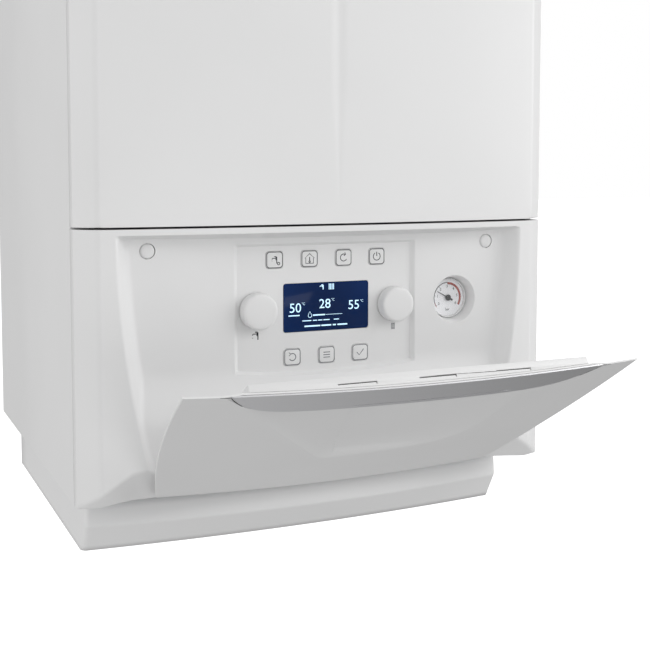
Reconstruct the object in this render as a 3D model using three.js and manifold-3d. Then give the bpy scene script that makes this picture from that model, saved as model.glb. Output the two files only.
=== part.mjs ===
// Wall-hung condensing combi boiler, millimetres.
// X runs to the right, Y into the wall (the wall is at Y = 0), Z up from the gap between the casing
// and its lower cover.
import * as THREE from "three";
import { mergeVertices } from "three/addons/utils/BufferGeometryUtils.js";
import Module from "manifold-3d";

const wasm = await Module();
wasm.setup();

// ---- Driving dimensions ----
const WIDTH = 440; // over the side panels
const HALF = WIDTH / 2;
const CASING_LOW = 3;
const CASING_TOP = 850;
const CORNER_Y = -406; // where the front's side return meets the corner chamfer
const CHAMFER_X = 17;
const CHAMFER_Y = 14;
const BOW = 12; // how far the middle of the front stands before its corners
const RETURN_Y = -394; // rear edge of the front's side returns
const SHEET = 1.5;
const GAP = 0.3;
const SEAM_Z = 230; // joint between the front cover and the control panel
const PANEL_BOTTOM = 4.5;
const PANEL_WALL = 2.5;
const BEVEL_SLOPE = 1.25; // rise of the panel's underside bevel per mm forward of BEVEL_Y
const BEVEL_Y = -400;
const BEVEL_HALF = 176; // half of the width over which the bevel is one plane
const BEVEL_CORNER = 5; // height to which it falls at the corners of the panel
const COVER_CREASE_HALF = 7; // shallow crease down the middle of the front cover
const COVER_CREASE_DEEP = 1.1;
const COVER_CREASE_FULL = 345; // height from which it has its full width
const FLUE_HOLE_R = 51;
const PLUG_HOLE_R = 38; // blanked openings left and right of the flue
const PLUG_X = 125;

const FLOOR_Y = -408; // flat floor of the recess behind the flap
const RECESS_TOP = 224;
const RECESS_DRAFT = 11; // how far the slanted recess walls come inward at the floor
const RECESS_DRAFT_TOP = 5; // the same at the upper wall
const LEDGE_Y = -421; // front of the ledge below the floor
const LEDGE_LOW = 64; // height where the ledge starts to sweep back
const LEDGE_HIGH = 112; // height where it meets the floor

const PLATE_Y = -405; // front of the control plate
const PLATE_HALF = 82;
const PLATE_TOP = 211.5;
const PLATE_LOW = 108; // lower corners of the plate
const PLATE_SAG = 5; // how far its lower edge dips in the middle
const PLATE_SLANT = 3.6; // how far the walls round the plate widen at the sides, half of it above and below
const KNOB_X = 65.3;
const KNOB_Z = 156.8;
const KNOB_R = 15.5;
const KNOB_FRONT = -417.2;
const SPINDLE_R = 3.5;
const DISPLAY_HALF = 40.5;
const DISPLAY_LOW = 136.4;
const DISPLAY_TOP = 178.4;
const BUTTON_W = 15.6;
const BUTTON_H = 14.6;
const BUTTON_TRAVEL = 0.8;
const TOP_ROW_Z = 199.6;
const LOW_ROW_Z = 114.8;
const BUTTON_STEP = 32.5;
const GAUGE_X = 127.4;
const GAUGE_Z = 158;
const GAUGE_Y = -397; // face of the gauge's dial rim
const GAUGE_HOLE_R = 22;
const GAUGE_R = 18.2;
const SCREW_X = 160.4;
const SCREW_Z = 210.5;
const SCREW_R = 6.3;
const BOARD_Y = -384; // front of the control board
const BOX_FRONT = -390; // open front edge of the electronics box
const BOX_BACK = -334;

const EAR_X = 148.25; // middles of the panel's hinge ears
const EYE_X = 153.25; // middles of the flap's hinge eyes
const EAR_THICK = 4.5; // both
const PIN_R = 2;
const FLAP_AXIS_Y = -420;
const FLAP_AXIS_Z = 20;
const FLAP_OPEN = 56.8; // degrees from shut to the open stop
const FLAP_FRONT = -430.5; // front of the shut flap in its middle
const FLAP_BOW = 6;
const FLAP_BOW_X = 187;
const FLAP_LOW = 8;
const FLAP_TOP = 221.2;
const FLAP_SKIN = 2.4;
const FLAP_MARGIN = 1.5; // gap around the shut flap
const SCOOP_TOP = 188; // lower edge of the trim in its middle
const SCOOP_DEPTH = 4.6;
const SCOOP_FOOT = 78; // level lower edge of the scoop
const SLANT_TOP = [-141, 202]; // its left edge runs straight from here (x, z)
const SLANT_FOOT = [-38, 77]; // to here
const CORNER_FROM = 20; // its right edge is a large round corner from here
const CORNER_TO = 96; // to here
const CORNER_TOP = 140;
const POCKET_DEPTH = 3.4; // below the scoop, in the pocket's upper left corner
const TRIM_HALF = 154;
const TRIM_THICK = 1.2;
const TRIM_POWER = 8; // how quickly the trim's lower edge curves up at its ends
const LINER_HALF = 140;
const LINER_LOW = 84; // clear of the ledge when the flap is shut
const LINER_BACK = -418.2;
const LINER_WALL = 1.5;
const SLOT_XS = [-74.5, -9.5, 55.5]; // left ends of the slots in the liner's rim
const SLOT_LONG = 31;
const SLOT_WIDE = 1;
const SLOT_Y = -424.2;
const HOOK_LONG = 2.2; // short leg at the right end of each slot

const SKIRT_HALF = 205; // lower cover
const SKIRT_BACK = -29;
const SKIRT_CORNER = 6;
const SKIRT_LOW = -51;
const SKIRT_RIDGE_Z = -26;
const SKIRT_TOP = -1.5;
const SKIRT_RIDGE_Y = -378;
const SKIRT_BOW = 17;
const SKIRT_UNDERCUT = 20; // in the middle; less towards the corners
const SKIRT_LEAN = 3; // how far its upper edge lies behind the ridge
const SKIRT_EASE = 0.3;
const SKIRT_WALL = 2.5;

const PIPES_Y = -110;
const PIPE_R = 9;
const PIPE_LOW = -62;

// ---- Materials ----
const paint = (color, roughness, metalness = 0) =>
  new THREE.MeshStandardMaterial({ color, roughness, metalness });
const WHITE_STEEL = paint(0xeceded, 0.45);
const WHITE_PLASTIC = paint(0xe9eaea, 0.5);
const SILVER_TRIM = paint(0xa9abaf, 0.35, 0.5);
const NAVY_GLASS = paint(0x0c2550, 0.15);
const CLEAR = paint(0xdfe6ea, 0.08);
const DARK_PLASTIC = paint(0x26282b, 0.6);
const BLACK_PLASTIC = paint(0x1a1b1d, 0.5);
const BOARD_GREEN = paint(0x1f6b45, 0.6);
const GALVANISED = paint(0x9fa4a8, 0.45, 0.8);
const STEEL = paint(0xb4b8bb, 0.35, 0.9);
const CAST_ALUMINIUM = paint(0xa3a6a8, 0.55, 0.8);
const BRASS = paint(0xb08d4a, 0.4, 0.85);
const COPPER = paint(0xb5714a, 0.35, 0.9);
const GREY_PLASTIC = paint(0x6d7175, 0.6);
const RED_PAINT = paint(0xa8322c, 0.5);
const BLUE_PLASTIC = paint(0x27509a, 0.5);
const CERAMIC = paint(0xe7e2d6, 0.5);

// ---- Solids ----
function solid(geometry) {
  const bare = geometry.index ? geometry.toNonIndexed() : geometry;
  bare.deleteAttribute("normal");
  bare.deleteAttribute("uv");
  const merged = mergeVertices(bare, 1e-4);
  const made = new wasm.Manifold(
    new wasm.Mesh({
      numProp: 3,
      vertProperties: merged.attributes.position.array,
      triVerts: new Uint32Array(merged.index.array),
    }),
  );
  return made;
}

const join = (...parts) => parts.reduce((a, b) => a.add(b));
const cut = (body, ...tools) => tools.reduce((a, b) => a.subtract(b), body);
const common = (a, b) => a.intersect(b);

function geometryOf(body) {
  const mesh = body.getMesh();
  const positions = new Float32Array(mesh.numVert * 3);
  for (let i = 0; i < mesh.numVert; i++) {
    const start = i * mesh.numProp;
    positions.set(mesh.vertProperties.subarray(start, start + 3), i * 3);
  }
  const geometry = new THREE.BufferGeometry();
  geometry.setAttribute("position", new THREE.BufferAttribute(positions, 3));
  geometry.setIndex(new THREE.BufferAttribute(mesh.triVerts, 1));
  return geometry;
}

const shapeOf = (points) => new THREE.Shape(points.map(([x, y]) => new THREE.Vector2(x, y)));

const prism = (shape, depth) =>
  new THREE.ExtrudeGeometry(shape, { depth, bevelEnabled: false });

// A plan outline (x, y) raised from z0 to z1.
function riseZ(points, z0, z1) {
  return solid(prism(shapeOf(points), z1 - z0).translate(0, 0, z0));
}

// A front outline (x, z) pushed from y0 back to y1.
function pushY(points, y0, y1) {
  return solid(prism(shapeOf(points), y1 - y0).rotateX(Math.PI / 2).translate(0, y1, 0));
}

// A side outline (y, z) swept from x0 to x1.
const SIDE_TO_X = new THREE.Matrix4().makeBasis(
  new THREE.Vector3(0, 1, 0),
  new THREE.Vector3(0, 0, 1),
  new THREE.Vector3(1, 0, 0),
);
function sweepX(points, x0, x1) {
  return solid(prism(shapeOf(points), x1 - x0).applyMatrix4(SIDE_TO_X).translate(x0, 0, 0));
}

function box(x0, x1, y0, y1, z0, z1) {
  const made = new THREE.BoxGeometry(x1 - x0, y1 - y0, z1 - z0);
  return solid(made.translate((x0 + x1) / 2, (y0 + y1) / 2, (z0 + z1) / 2));
}

// A rod along an axis letter from a to b, through the two other coordinates in x, y, z order.
function rod(axis, radius, a, b, [p, q], sides = 20, endRadius = radius) {
  const made = new THREE.CylinderGeometry(endRadius, radius, b - a, sides);
  const middle = (a + b) / 2;
  if (axis === "x") return solid(made.rotateZ(-Math.PI / 2).translate(middle, p, q));
  if (axis === "y") return solid(made.translate(p, middle, q));
  return solid(made.rotateX(Math.PI / 2).translate(p, q, middle));
}

// A turned shape: profile of [radius, distance along Y], closed on the axis or on itself.
function turnedY(profile, x, z, sides = 28) {
  const made = new THREE.LatheGeometry(
    profile.map(([r, d]) => new THREE.Vector2(r, d)),
    sides,
  );
  const body = solid(made);
  const facing = body.volume() < 0 ? turnedY(profile.slice().reverse(), 0, 0, sides) : body;
  return facing.translate([x, 0, z]);
}

// A bent pipe through points: straight runs joined by curved bends.
const BEND_STEPS = 4;
function pipe(points, radius, bend = 22, sides = 8) {
  const at = points.map((p) => new THREE.Vector3(...p));
  const stations = [[at[0], at[1].clone().sub(at[0]).normalize()]];
  for (let i = 1; i < at.length - 1; i++) {
    const inward = at[i].clone().sub(at[i - 1]).normalize();
    const outward = at[i + 1].clone().sub(at[i]).normalize();
    const start = at[i].clone().addScaledVector(inward, -bend);
    const end = at[i].clone().addScaledVector(outward, bend);
    const arc = new THREE.QuadraticBezierCurve3(start, at[i], end);
    for (const t of span(0, 1, BEND_STEPS)) stations.push([arc.getPoint(t), arc.getTangent(t)]);
  }
  const last = at[at.length - 1];
  stations.push([last, last.clone().sub(at[at.length - 2]).normalize()]);
  const side = new THREE.Vector3(0.31, 0.52, 0.79);
  const rings = stations.map(([centre, along]) => {
    side.addScaledVector(along, -side.dot(along)).normalize();
    const up = along.clone().cross(side);
    return span(0, 2 * Math.PI, sides).slice(0, -1).map((turn) => {
      const point = centre.clone().addScaledVector(side, radius * Math.cos(turn));
      return point.addScaledVector(up, radius * Math.sin(turn)).toArray();
    });
  });
  return loft(rings);
}

// A skin through equal rings of 3-D points, closed by a flat cap at each end.
function loft(rings) {
  const count = rings[0].length;
  const faces = [];
  for (let r = 0; r + 1 < rings.length; r++) {
    for (let i = 0; i < count; i++) {
      const a = r * count + i;
      const b = r * count + ((i + 1) % count);
      faces.push(a, b, b + count, a, b + count, a + count);
    }
  }
  const last = (rings.length - 1) * count;
  for (const [a, b, c] of capOf(rings[0])) {
    faces.push(a, c, b);
    faces.push(last + a, last + b, last + c);
  }
  const build = (order) => {
    const made = new THREE.BufferGeometry();
    made.setAttribute("position", new THREE.Float32BufferAttribute(rings.flat(2), 3));
    made.setIndex(order);
    return solid(made);
  };
  const body = build(faces);
  if (body.volume() > 0) return body;
  const turned = [];
  for (let i = 0; i < faces.length; i += 3) turned.push(faces[i], faces[i + 2], faces[i + 1]);
  return build(turned);
}

// Triangles of a flat ring, seen along the axis that its plane faces most.
function capOf(ring) {
  const reach = [0, 1, 2].map((k) => {
    const values = ring.map((p) => p[k]);
    return Math.max(...values) - Math.min(...values);
  });
  const [p, q] = [0, 1, 2].filter((k) => k !== reach.indexOf(Math.min(...reach)));
  const flat = ring.map((point) => new THREE.Vector2(point[p], point[q]));
  return THREE.ShapeUtils.triangulateShape(flat, []);
}

// A closed outline moved inward by a distance (outward if negative), corner by corner.
function inset(points, distance) {
  const area = THREE.ShapeUtils.area(points.map(([x, y]) => ({ x, y })));
  const side = area > 0 ? 1 : -1;
  return points.map(([x, y], i) => {
    const [px, py] = points[(i + points.length - 1) % points.length];
    const [nx, ny] = points[(i + 1) % points.length];
    const before = new THREE.Vector2(x - px, y - py).normalize();
    const after = new THREE.Vector2(nx - x, ny - y).normalize();
    const normal = new THREE.Vector2(-before.y - after.y, before.x + after.x);
    const reach = (2 * distance * side) / normal.lengthSq();
    return [x + normal.x * reach, y + normal.y * reach];
  });
}

// A rectangle with rounded corners.
function roundedOutline(x0, x1, z0, z1, r, steps = 3) {
  const points = [];
  const corners = [
    [x1 - r, z0 + r, -90],
    [x1 - r, z1 - r, 0],
    [x0 + r, z1 - r, 90],
    [x0 + r, z0 + r, 180],
  ];
  for (const [cx, cz, start] of corners) {
    for (let i = 0; i <= steps; i++) {
      const turn = THREE.MathUtils.degToRad(start + (90 * i) / steps);
      points.push([cx + r * Math.cos(turn), cz + r * Math.sin(turn)]);
    }
  }
  return points;
}

const span = (from, to, steps) =>
  Array.from({ length: steps + 1 }, (_, i) => from + ((to - from) * i) / steps);

// ---- Assembly ----
const boiler = new THREE.Group();

function place(name, body, material, parent = boiler) {
  const mesh = new THREE.Mesh(geometryOf(body), material);
  mesh.name = name;
  parent.add(mesh);
  return mesh;
}

// ---- Casing ----
// Plan of the bowed front with its chamfered corners and side returns.
function frontPlan(steps = 12) {
  const flat = HALF - CHAMFER_X;
  const points = [
    [-HALF, RETURN_Y],
    [-HALF, CORNER_Y],
  ];
  for (const x of span(-flat, flat, steps)) points.push([x, frontY(x)]);
  points.push([HALF, CORNER_Y], [HALF, RETURN_Y]);
  return points;
}
function frontY(x) {
  const flat = HALF - CHAMFER_X;
  return CORNER_Y - CHAMFER_Y - BOW * (1 - (x / flat) ** 2);
}

// A tray that is open to the rear: the plan from z0 to z1, walls of the given thickness.
function frontTray(plan, z0, z1, wall) {
  const inner = inset(plan, wall);
  inner[0][1] = RETURN_Y + 1;
  inner[inner.length - 1][1] = RETURN_Y + 1;
  return cut(riseZ(plan, z0, z1), riseZ(inner, z0 + wall, z1 - wall));
}

function frontCover() {
  const low = SEAM_Z + 1;
  const shell = frontTray(frontPlan(16), low, CASING_TOP, 2);
  const frontMost = frontY(0);
  const ring = (half, deep, z) => [
    [-half, frontMost - 3, z],
    [half, frontMost - 3, z],
    [half, frontMost - 0.05, z],
    [0, frontMost + deep, z],
    [-half, frontMost - 0.05, z],
  ];
  const full = (z) => ring(COVER_CREASE_HALF, COVER_CREASE_DEEP, z);
  return cut(shell, loft([ring(0.4, 0.1, low + 15), full(COVER_CREASE_FULL), full(CASING_TOP + 50)]));
}

// Side panel: a tray with flanges on all four edges, open towards the middle.
function sidePanel(side) {
  const x0 = side < 0 ? -HALF : HALF - 16;
  const x1 = side < 0 ? -HALF + 16 : HALF;
  const cutFrom = side < 0 ? x0 + SHEET : x0 - 1;
  const cutTo = side < 0 ? x1 + 1 : x1 - SHEET;
  const front = RETURN_Y + GAP;
  const top = CASING_TOP - SHEET - GAP;
  const hollow = box(cutFrom, cutTo, front + SHEET, -1 - SHEET, CASING_LOW + SHEET, top - SHEET);
  return cut(box(x0, x1, front, -1, CASING_LOW, top), hollow);
}

function topPanel() {
  const plate = box(-HALF, HALF, RETURN_Y + GAP, -1, CASING_TOP - SHEET, CASING_TOP);
  const flue = rod("z", FLUE_HOLE_R, CASING_TOP - 50, CASING_TOP + 50, [0, FLUE_Y], 32);
  const plugs = [-PLUG_X, PLUG_X].map((x) =>
    rod("z", PLUG_HOLE_R, CASING_TOP - 0.5, CASING_TOP + 50, [x, FLUE_Y], 24),
  );
  return cut(plate, flue, ...plugs);
}

const FLUE_Y = -190;
const BACK_FACE = -2.8; // feet and straps end here, just before the back plate
const PIPE_XS = [-130, -65, 0, 65, 130];
const HANGER_LOW = 772;
const HANGER_TOP = 822;

const FRAME_HALF = HALF - 17;
const FRAME_DEEP = 22;
const FRAME_LOW = -14;
const HOOK_X = 120; // middles of the bracket's hooks and of their slots
const FIXING_X = 150;

function backFrame() {
  const top = CASING_TOP - 4;
  const tray = cut(
    box(-FRAME_HALF, FRAME_HALF, -FRAME_DEEP, 0, FRAME_LOW, top),
    box(-FRAME_HALF + 2, FRAME_HALF - 2, -FRAME_DEEP - 1, -2.5, FRAME_LOW + 2, top - 2),
  );
  // The upper part steps forward to leave room for the wall bracket behind it.
  const pocket = box(-170, 170, -8, 1, HANGER_LOW, HANGER_TOP);
  const dome = box(-173, 173, -10.5, -2, HANGER_LOW - 3, HANGER_TOP + 3);
  const slots = [-HOOK_X, HOOK_X].map((x) =>
    box(x - 12, x + 12, -12, -7, HANGER_TOP - 10, HANGER_TOP - 2),
  );
  const holes = [-FIXING_X, FIXING_X].flatMap((x) => [60, 420].map((z) => rod("y", 6, -4, 1, [x, z], 12)));
  return cut(join(tray, dome), pocket, ...slots, ...holes);
}

function wallBracket() {
  const bar = box(-165, 165, -2.5, 0, HANGER_LOW + 4, HANGER_TOP - 13);
  const hooks = [-HOOK_X, HOOK_X].map((x) =>
    join(
      box(x - 10, x + 10, -2.5, 0, HANGER_TOP - 14, HANGER_TOP - 6),
      box(x - 10, x + 10, -7.5, -0.5, HANGER_TOP - 8, HANGER_TOP - 5),
      box(x - 10, x + 10, -7.5, -5.5, HANGER_TOP - 7, HANGER_TOP - 1.5),
    ),
  );
  const holes = [-FIXING_X, -60, 0, 60, FIXING_X].map((x) =>
    rod("y", 4.5, -4, 1, [x, HANGER_LOW + 18], 12),
  );
  return cut(join(bar, ...hooks), ...holes);
}

const PLATE_FRONT = -380; // front edge of the bottom plate
const TRAP_X = -165;
const TRAP_Y = -175;
const TAP_X = 98;

function bottomPlate() {
  const plate = join(
    box(-FRAME_HALF, FRAME_HALF, PLATE_FRONT, -22.5, 3, 4.5),
    box(-FRAME_HALF, FRAME_HALF, PLATE_FRONT, PLATE_FRONT + 1.5, 3, 12),
  );
  const holes = PIPE_XS.map((x) => rod("z", PIPE_R + 5, 0, 8, [x, PIPES_Y], 14));
  const drain = rod("z", 16, 0, 8, [TRAP_X, TRAP_Y], 14);
  const tap = rod("z", 9, 0, 8, [TAP_X, PIPES_Y], 14);
  return cut(plate, ...holes, drain, tap);
}

// Skirt under the casing, bowed and undercut in front, open below and behind.
function lowerCover() {
  const quarter = span(0, 3, 3).map((i) => (Math.PI / 2) * (i / 3));
  const ring = (z, forward, wall) => {
    const half = SKIRT_HALF - wall;
    const edge = half - SKIRT_CORNER;
    const front = (x) => {
      const share = (x / SKIRT_HALF) ** 2;
      return SKIRT_RIDGE_Y + SKIRT_BOW * share + forward * (1 - SKIRT_EASE * share) + wall;
    };
    const bend = (side, turn) => [
      side * (edge + SKIRT_CORNER * Math.cos(turn)),
      front(edge) + SKIRT_CORNER * (1 - Math.sin(turn)),
      z,
    ];
    const back = SKIRT_BACK + (wall ? 1 : 0);
    const middle = span(-edge, edge, 10).slice(1, -1).map((x) => [x, front(x), z]);
    const left = quarter.map((turn) => bend(-1, turn));
    const right = quarter.map((turn) => bend(1, turn)).reverse();
    return [[-half, back, z], ...left, ...middle, ...right, [half, back, z]];
  };
  const slant = SKIRT_UNDERCUT / (SKIRT_RIDGE_Z - SKIRT_LOW);
  const shell = loft([
    ring(SKIRT_LOW, SKIRT_UNDERCUT, 0),
    ring(SKIRT_RIDGE_Z, 0, 0),
    ring(SKIRT_TOP, SKIRT_LEAN, 0),
  ]);
  const hollow = loft([
    ring(SKIRT_LOW - 1, SKIRT_UNDERCUT + slant, SKIRT_WALL),
    ring(SKIRT_RIDGE_Z, 0, SKIRT_WALL),
    ring(SKIRT_TOP + 1, SKIRT_LEAN, SKIRT_WALL),
  ]);
  const lips = [-1, 1].map((s) => {
    const middle = s * (SKIRT_HALF - 10);
    return box(middle - 9, middle + 9, -340, -60, SKIRT_TOP - 2, SKIRT_TOP);
  });
  return join(cut(shell, hollow), ...lips);
}

place("back_frame", backFrame(), GALVANISED);
place("wall_bracket", wallBracket(), GALVANISED);
place("left_side_panel", sidePanel(-1), WHITE_STEEL);
place("right_side_panel", sidePanel(1), WHITE_STEEL);
place("top_panel", topPanel(), WHITE_STEEL);
place("bottom_plate", bottomPlate(), GALVANISED);
place("front_cover", frontCover(), WHITE_STEEL);
place("lower_cover", lowerCover(), WHITE_PLASTIC);

// ---- Control panel: everything here tilts forward as one for service ----
const panel = new THREE.Group();
boiler.add(panel);

// Half-width of the shield-shaped recess at height z.
function recessHalf(z) {
  const share = Math.min(Math.max(z / RECESS_TOP, 0), 1);
  return 156 + 32.5 * (1 - (1 - share) ** 1.9);
}
function shield(low, top, margin) {
  const right = span(low, top, 12).map((z) => [recessHalf(z) - margin, z]);
  const left = right.map(([x, z]) => [-x, z]).reverse();
  const wide = recessHalf(top) - margin;
  const across = span(wide, -wide, 8).slice(1, -1).map((x) => [x, top]);
  return [...right, ...across, ...left];
}

// The recess as a body to cut away; grow makes it larger by a wall's thickness.
function recess(grow) {
  const frontMost = frontY(0) - 5;
  const outline = shield(PANEL_BOTTOM - 12, RECESS_TOP, -grow);
  const ring = (yAt, draft) =>
    outline.map(([x, z]) => {
      const share = 1 - draft / recessHalf(RECESS_TOP);
      const top = z === RECESS_TOP ? grow - (draft / RECESS_DRAFT) * RECESS_DRAFT_TOP : 0;
      return [x * share, yAt(x), z + top];
    });
  const drafted = loft([
    ring(() => frontMost, 0),
    ring((x) => frontY(x), 0),
    ring(() => FLOOR_Y + grow + 1, RECESS_DRAFT),
  ]);
  const back = (y) => y + grow;
  const cove = span(0, 1, 6).map((share) => {
    const ease = (1 - Math.cos(Math.PI * share)) / 2;
    const y = LEDGE_Y + (FLOOR_Y - LEDGE_Y) * ease;
    return [back(y), LEDGE_LOW + (LEDGE_HIGH - LEDGE_LOW) * share];
  });
  const front = frontMost - 5;
  const side = [[front, -20], [back(LEDGE_Y), -20], ...cove, [back(FLOOR_Y), 300], [front, 300]];
  return common(drafted, sweepX(side, -HALF, HALF));
}

function plateOutline(grow, growZ = grow) {
  const half = PLATE_HALF + grow;
  const low = PLATE_LOW - growZ;
  const points = [[half, low], [half, PLATE_TOP + growZ], [-half, PLATE_TOP + growZ], [-half, low]];
  for (const x of span(-half, half, 8).slice(1, -1)) {
    points.push([x, low - PLATE_SAG * (1 - (x / half) ** 2)]);
  }
  return points;
}

// Front of the panel, over the corner chamfers too.
function faceY(x) {
  return Math.max(frontY(x), CORNER_Y - (CHAMFER_Y * (HALF - Math.abs(x))) / CHAMFER_X);
}
// Height where the underside bevel meets the front, falling towards the corners.
function bevelTop(x) {
  const inner = Math.min(Math.abs(x), BEVEL_HALF);
  const top = PANEL_BOTTOM + (BEVEL_Y - faceY(inner)) * BEVEL_SLOPE;
  return top + ((BEVEL_CORNER - top) * (Math.abs(x) - inner)) / (HALF - BEVEL_HALF);
}

function fascia() {
  const undercut = gridSlab(
    [-HALF - 1, -HALF + CHAMFER_X, ...span(-BEVEL_HALF, BEVEL_HALF, 8), HALF - CHAMFER_X, HALF + 1],
    (x) => [PANEL_BOTTOM - 10, bevelTop(x) + 20],
    () => -500,
    (x, z) => faceY(x) + (bevelTop(x) - z) / BEVEL_SLOPE,
  );
  const plan = frontPlan();
  const top = SEAM_Z - 0.8;
  const outer = cut(riseZ(plan, PANEL_BOTTOM, top), undercut);
  const innerPlan = inset(plan, PANEL_WALL);
  innerPlan[0][1] = RETURN_Y + 1;
  innerPlan[innerPlan.length - 1][1] = RETURN_Y + 1;
  const roomLow = PANEL_BOTTOM + PANEL_WALL;
  const rise = undercut.translate([0, 0, PANEL_WALL * 1.6]);
  const plateSeat = PLATE_Y + 2.3;
  const pocketWall = pushY(plateOutline(PANEL_WALL), FLOOR_Y, plateSeat + 2.2);
  const gaugeWall = rod("y", GAUGE_HOLE_R + 2.5, FLOOR_Y - 1, GAUGE_Y + 6, [GAUGE_X, GAUGE_Z], 28);
  const capWalls = [-1, 1].map((s) =>
    rod("y", SCREW_R + 2.6, FLOOR_Y - 6, FLOOR_Y + 8, [s * SCREW_X, SCREW_Z], 16),
  );
  const room = cut(
    cut(riseZ(innerPlan, roomLow, top - PANEL_WALL), rise),
    recess(PANEL_WALL),
    pocketWall,
    gaugeWall,
    ...capWalls,
  );
  const pocket = pushY(plateOutline(0.4), PLATE_Y - 1, plateSeat);
  const slant = (share, y) => {
    const wider = PLATE_SLANT * share;
    return plateOutline(0.4 + wider, 0.4 + wider / 2).map(([x, z]) => [x, y, z]);
  };
  const slanted = loft([slant(0, PLATE_Y), slant(1, FLOOR_Y), slant(1, FLOOR_Y - 5)]);
  const opening = pushY(plateOutline(-2), FLOOR_Y, PLATE_Y + 8);
  const gaugeAt = [GAUGE_X, GAUGE_Z];
  const gaugeCone = rod("y", GAUGE_HOLE_R, FLOOR_Y - 0.5, GAUGE_Y, gaugeAt, 28, GAUGE_R + 0.4);
  const gaugeBore = rod("y", GAUGE_R + 0.4, GAUGE_Y - 1, GAUGE_Y + 8, gaugeAt, 28);
  const caps = [-1, 1].flatMap((s) => [
    rod("y", SCREW_R + 0.4, FLOOR_Y - 8, FLOOR_Y + 3, [s * SCREW_X, SCREW_Z], 16),
    rod("y", 2.6, FLOOR_Y, FLOOR_Y + 12, [s * SCREW_X, SCREW_Z], 10),
  ]);
  const ears = [-1, 1].map((s) => {
    const x0 = s * EAR_X - EAR_THICK / 2;
    return join(
      rod("x", 3.6, x0, x0 + EAR_THICK, [FLAP_AXIS_Y, FLAP_AXIS_Z], 14),
      box(x0, x0 + EAR_THICK, FLAP_AXIS_Y - 2.8, FLAP_AXIS_Y + 4, FLAP_AXIS_Z, 42),
    );
  });
  const pinHoles = rod("x", PIN_R + GAP, -151, 151, [FLAP_AXIS_Y, FLAP_AXIS_Z], 12);
  const shell = cut(outer, room, recess(0));
  const holes = [pocket, slanted, opening, gaugeCone, gaugeBore, ...caps];
  return cut(join(cut(shell, ...holes), ...ears), pinHoles);
}

// The seven buttons: name, middle across, height.
const TOP_NAMES = ["hot_water_button", "room_temperature_button", "mode_button", "power_button"];
const LOW_NAMES = ["reset_button", "menu_button", "confirm_button"];
const BUTTONS = [
  ...TOP_NAMES.map((name, i) => [name, (i - 1.5) * BUTTON_STEP, TOP_ROW_Z]),
  ...LOW_NAMES.map((name, i) => [name, (i - 1) * BUTTON_STEP, LOW_ROW_Z]),
];
const buttonOutline = (x, z, grow) =>
  roundedOutline(
    x - BUTTON_W / 2 - grow,
    x + BUTTON_W / 2 + grow,
    z - BUTTON_H / 2 - grow,
    z + BUTTON_H / 2 + grow,
    3,
    2,
  );

function controlPlate() {
  const plate = pushY(plateOutline(0), PLATE_Y, PLATE_Y + 2);
  const half = DISPLAY_HALF + GAP;
  const windowShape = roundedOutline(-half, half, DISPLAY_LOW - GAP, DISPLAY_TOP + GAP, 2, 2);
  const view = pushY(windowShape, PLATE_Y - 1, PLATE_Y + 3);
  const spindles = [-KNOB_X, KNOB_X].map((x) =>
    rod("y", SPINDLE_R + 0.7, PLATE_Y - 1, PLATE_Y + 3, [x, KNOB_Z], 14),
  );
  const keys = BUTTONS.map(([, x, z]) => pushY(buttonOutline(x, z, 0.35), PLATE_Y - 1, PLATE_Y + 3));
  return cut(plate, view, ...spindles, ...keys);
}

function button(x, z) {
  const cap = pushY(buttonOutline(x, z, 0), PLATE_Y - 0.7, PLATE_Y + 3.4);
  const collar = pushY(buttonOutline(x, z, 0.9), PLATE_Y + 2.4, PLATE_Y + 3.6);
  const stem = rod("y", 2.5, PLATE_Y + 3, BOARD_Y - BUTTON_TRAVEL - 1.9, [x, z], 10);
  return join(cap, collar, stem);
}

function knob(x) {
  const back = PLATE_Y - 0.8;
  const profile = [
    [0, KNOB_FRONT],
    [KNOB_R - 1.6, KNOB_FRONT],
    [KNOB_R - 0.4, KNOB_FRONT + 0.7],
    [KNOB_R, KNOB_FRONT + 2],
    [KNOB_R, back],
    [SPINDLE_R, back],
    [SPINDLE_R, BOARD_Y - 6.3],
    [0, BOARD_Y - 6.3],
  ];
  const body = turnedY(profile, x, KNOB_Z, 28);
  const grip = box(x - 0.7, x + 0.7, KNOB_FRONT - 0.5, KNOB_FRONT + 0.5, KNOB_Z + 8, KNOB_Z + 13);
  return cut(body, grip);
}

function gaugeBody() {
  const profile = [
    [0, GAUGE_Y + 1.5],
    [GAUGE_R - 1, GAUGE_Y + 1.5],
    [GAUGE_R - 1, GAUGE_Y - 1.2],
    [GAUGE_R, GAUGE_Y - 1.2],
    [GAUGE_R, -372],
    [0, -372],
  ];
  const pivot = rod("y", 1, GAUGE_Y + 0.3, GAUGE_Y + 2, [GAUGE_X, GAUGE_Z], 8);
  return join(turnedY(profile, GAUGE_X, GAUGE_Z, 28), pivot);
}

const NEEDLE_ANGLE = 152; // degrees from +X, to just past the mark 2
function gaugeNeedle() {
  const y0 = GAUGE_Y - 0.4;
  const hub = rod("y", 2.6, y0 - 0.4, y0 + 0.4, [0, 0], 12);
  const blade = pushY([[-5, -0.5], [13, -0.25], [13, 0.25], [-5, 0.5]], y0 - 0.3, y0 + 0.3);
  const turned = join(hub, blade).rotate([0, -NEEDLE_ANGLE, 0]);
  return turned.translate([GAUGE_X, 0, GAUGE_Z]);
}

function gaugeLens() {
  return rod("y", GAUGE_R, GAUGE_Y - 2.8, GAUGE_Y - 1.5, [GAUGE_X, GAUGE_Z], 28);
}

function screwCap(side) {
  const profile = [
    [0, FLOOR_Y - 1.4],
    [SCREW_R - 0.8, FLOOR_Y - 1.4],
    [SCREW_R, FLOOR_Y - 0.5],
    [SCREW_R, FLOOR_Y + 2.6],
    [0, FLOOR_Y + 2.6],
  ];
  return turnedY(profile, side * SCREW_X, SCREW_Z, 16);
}

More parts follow.
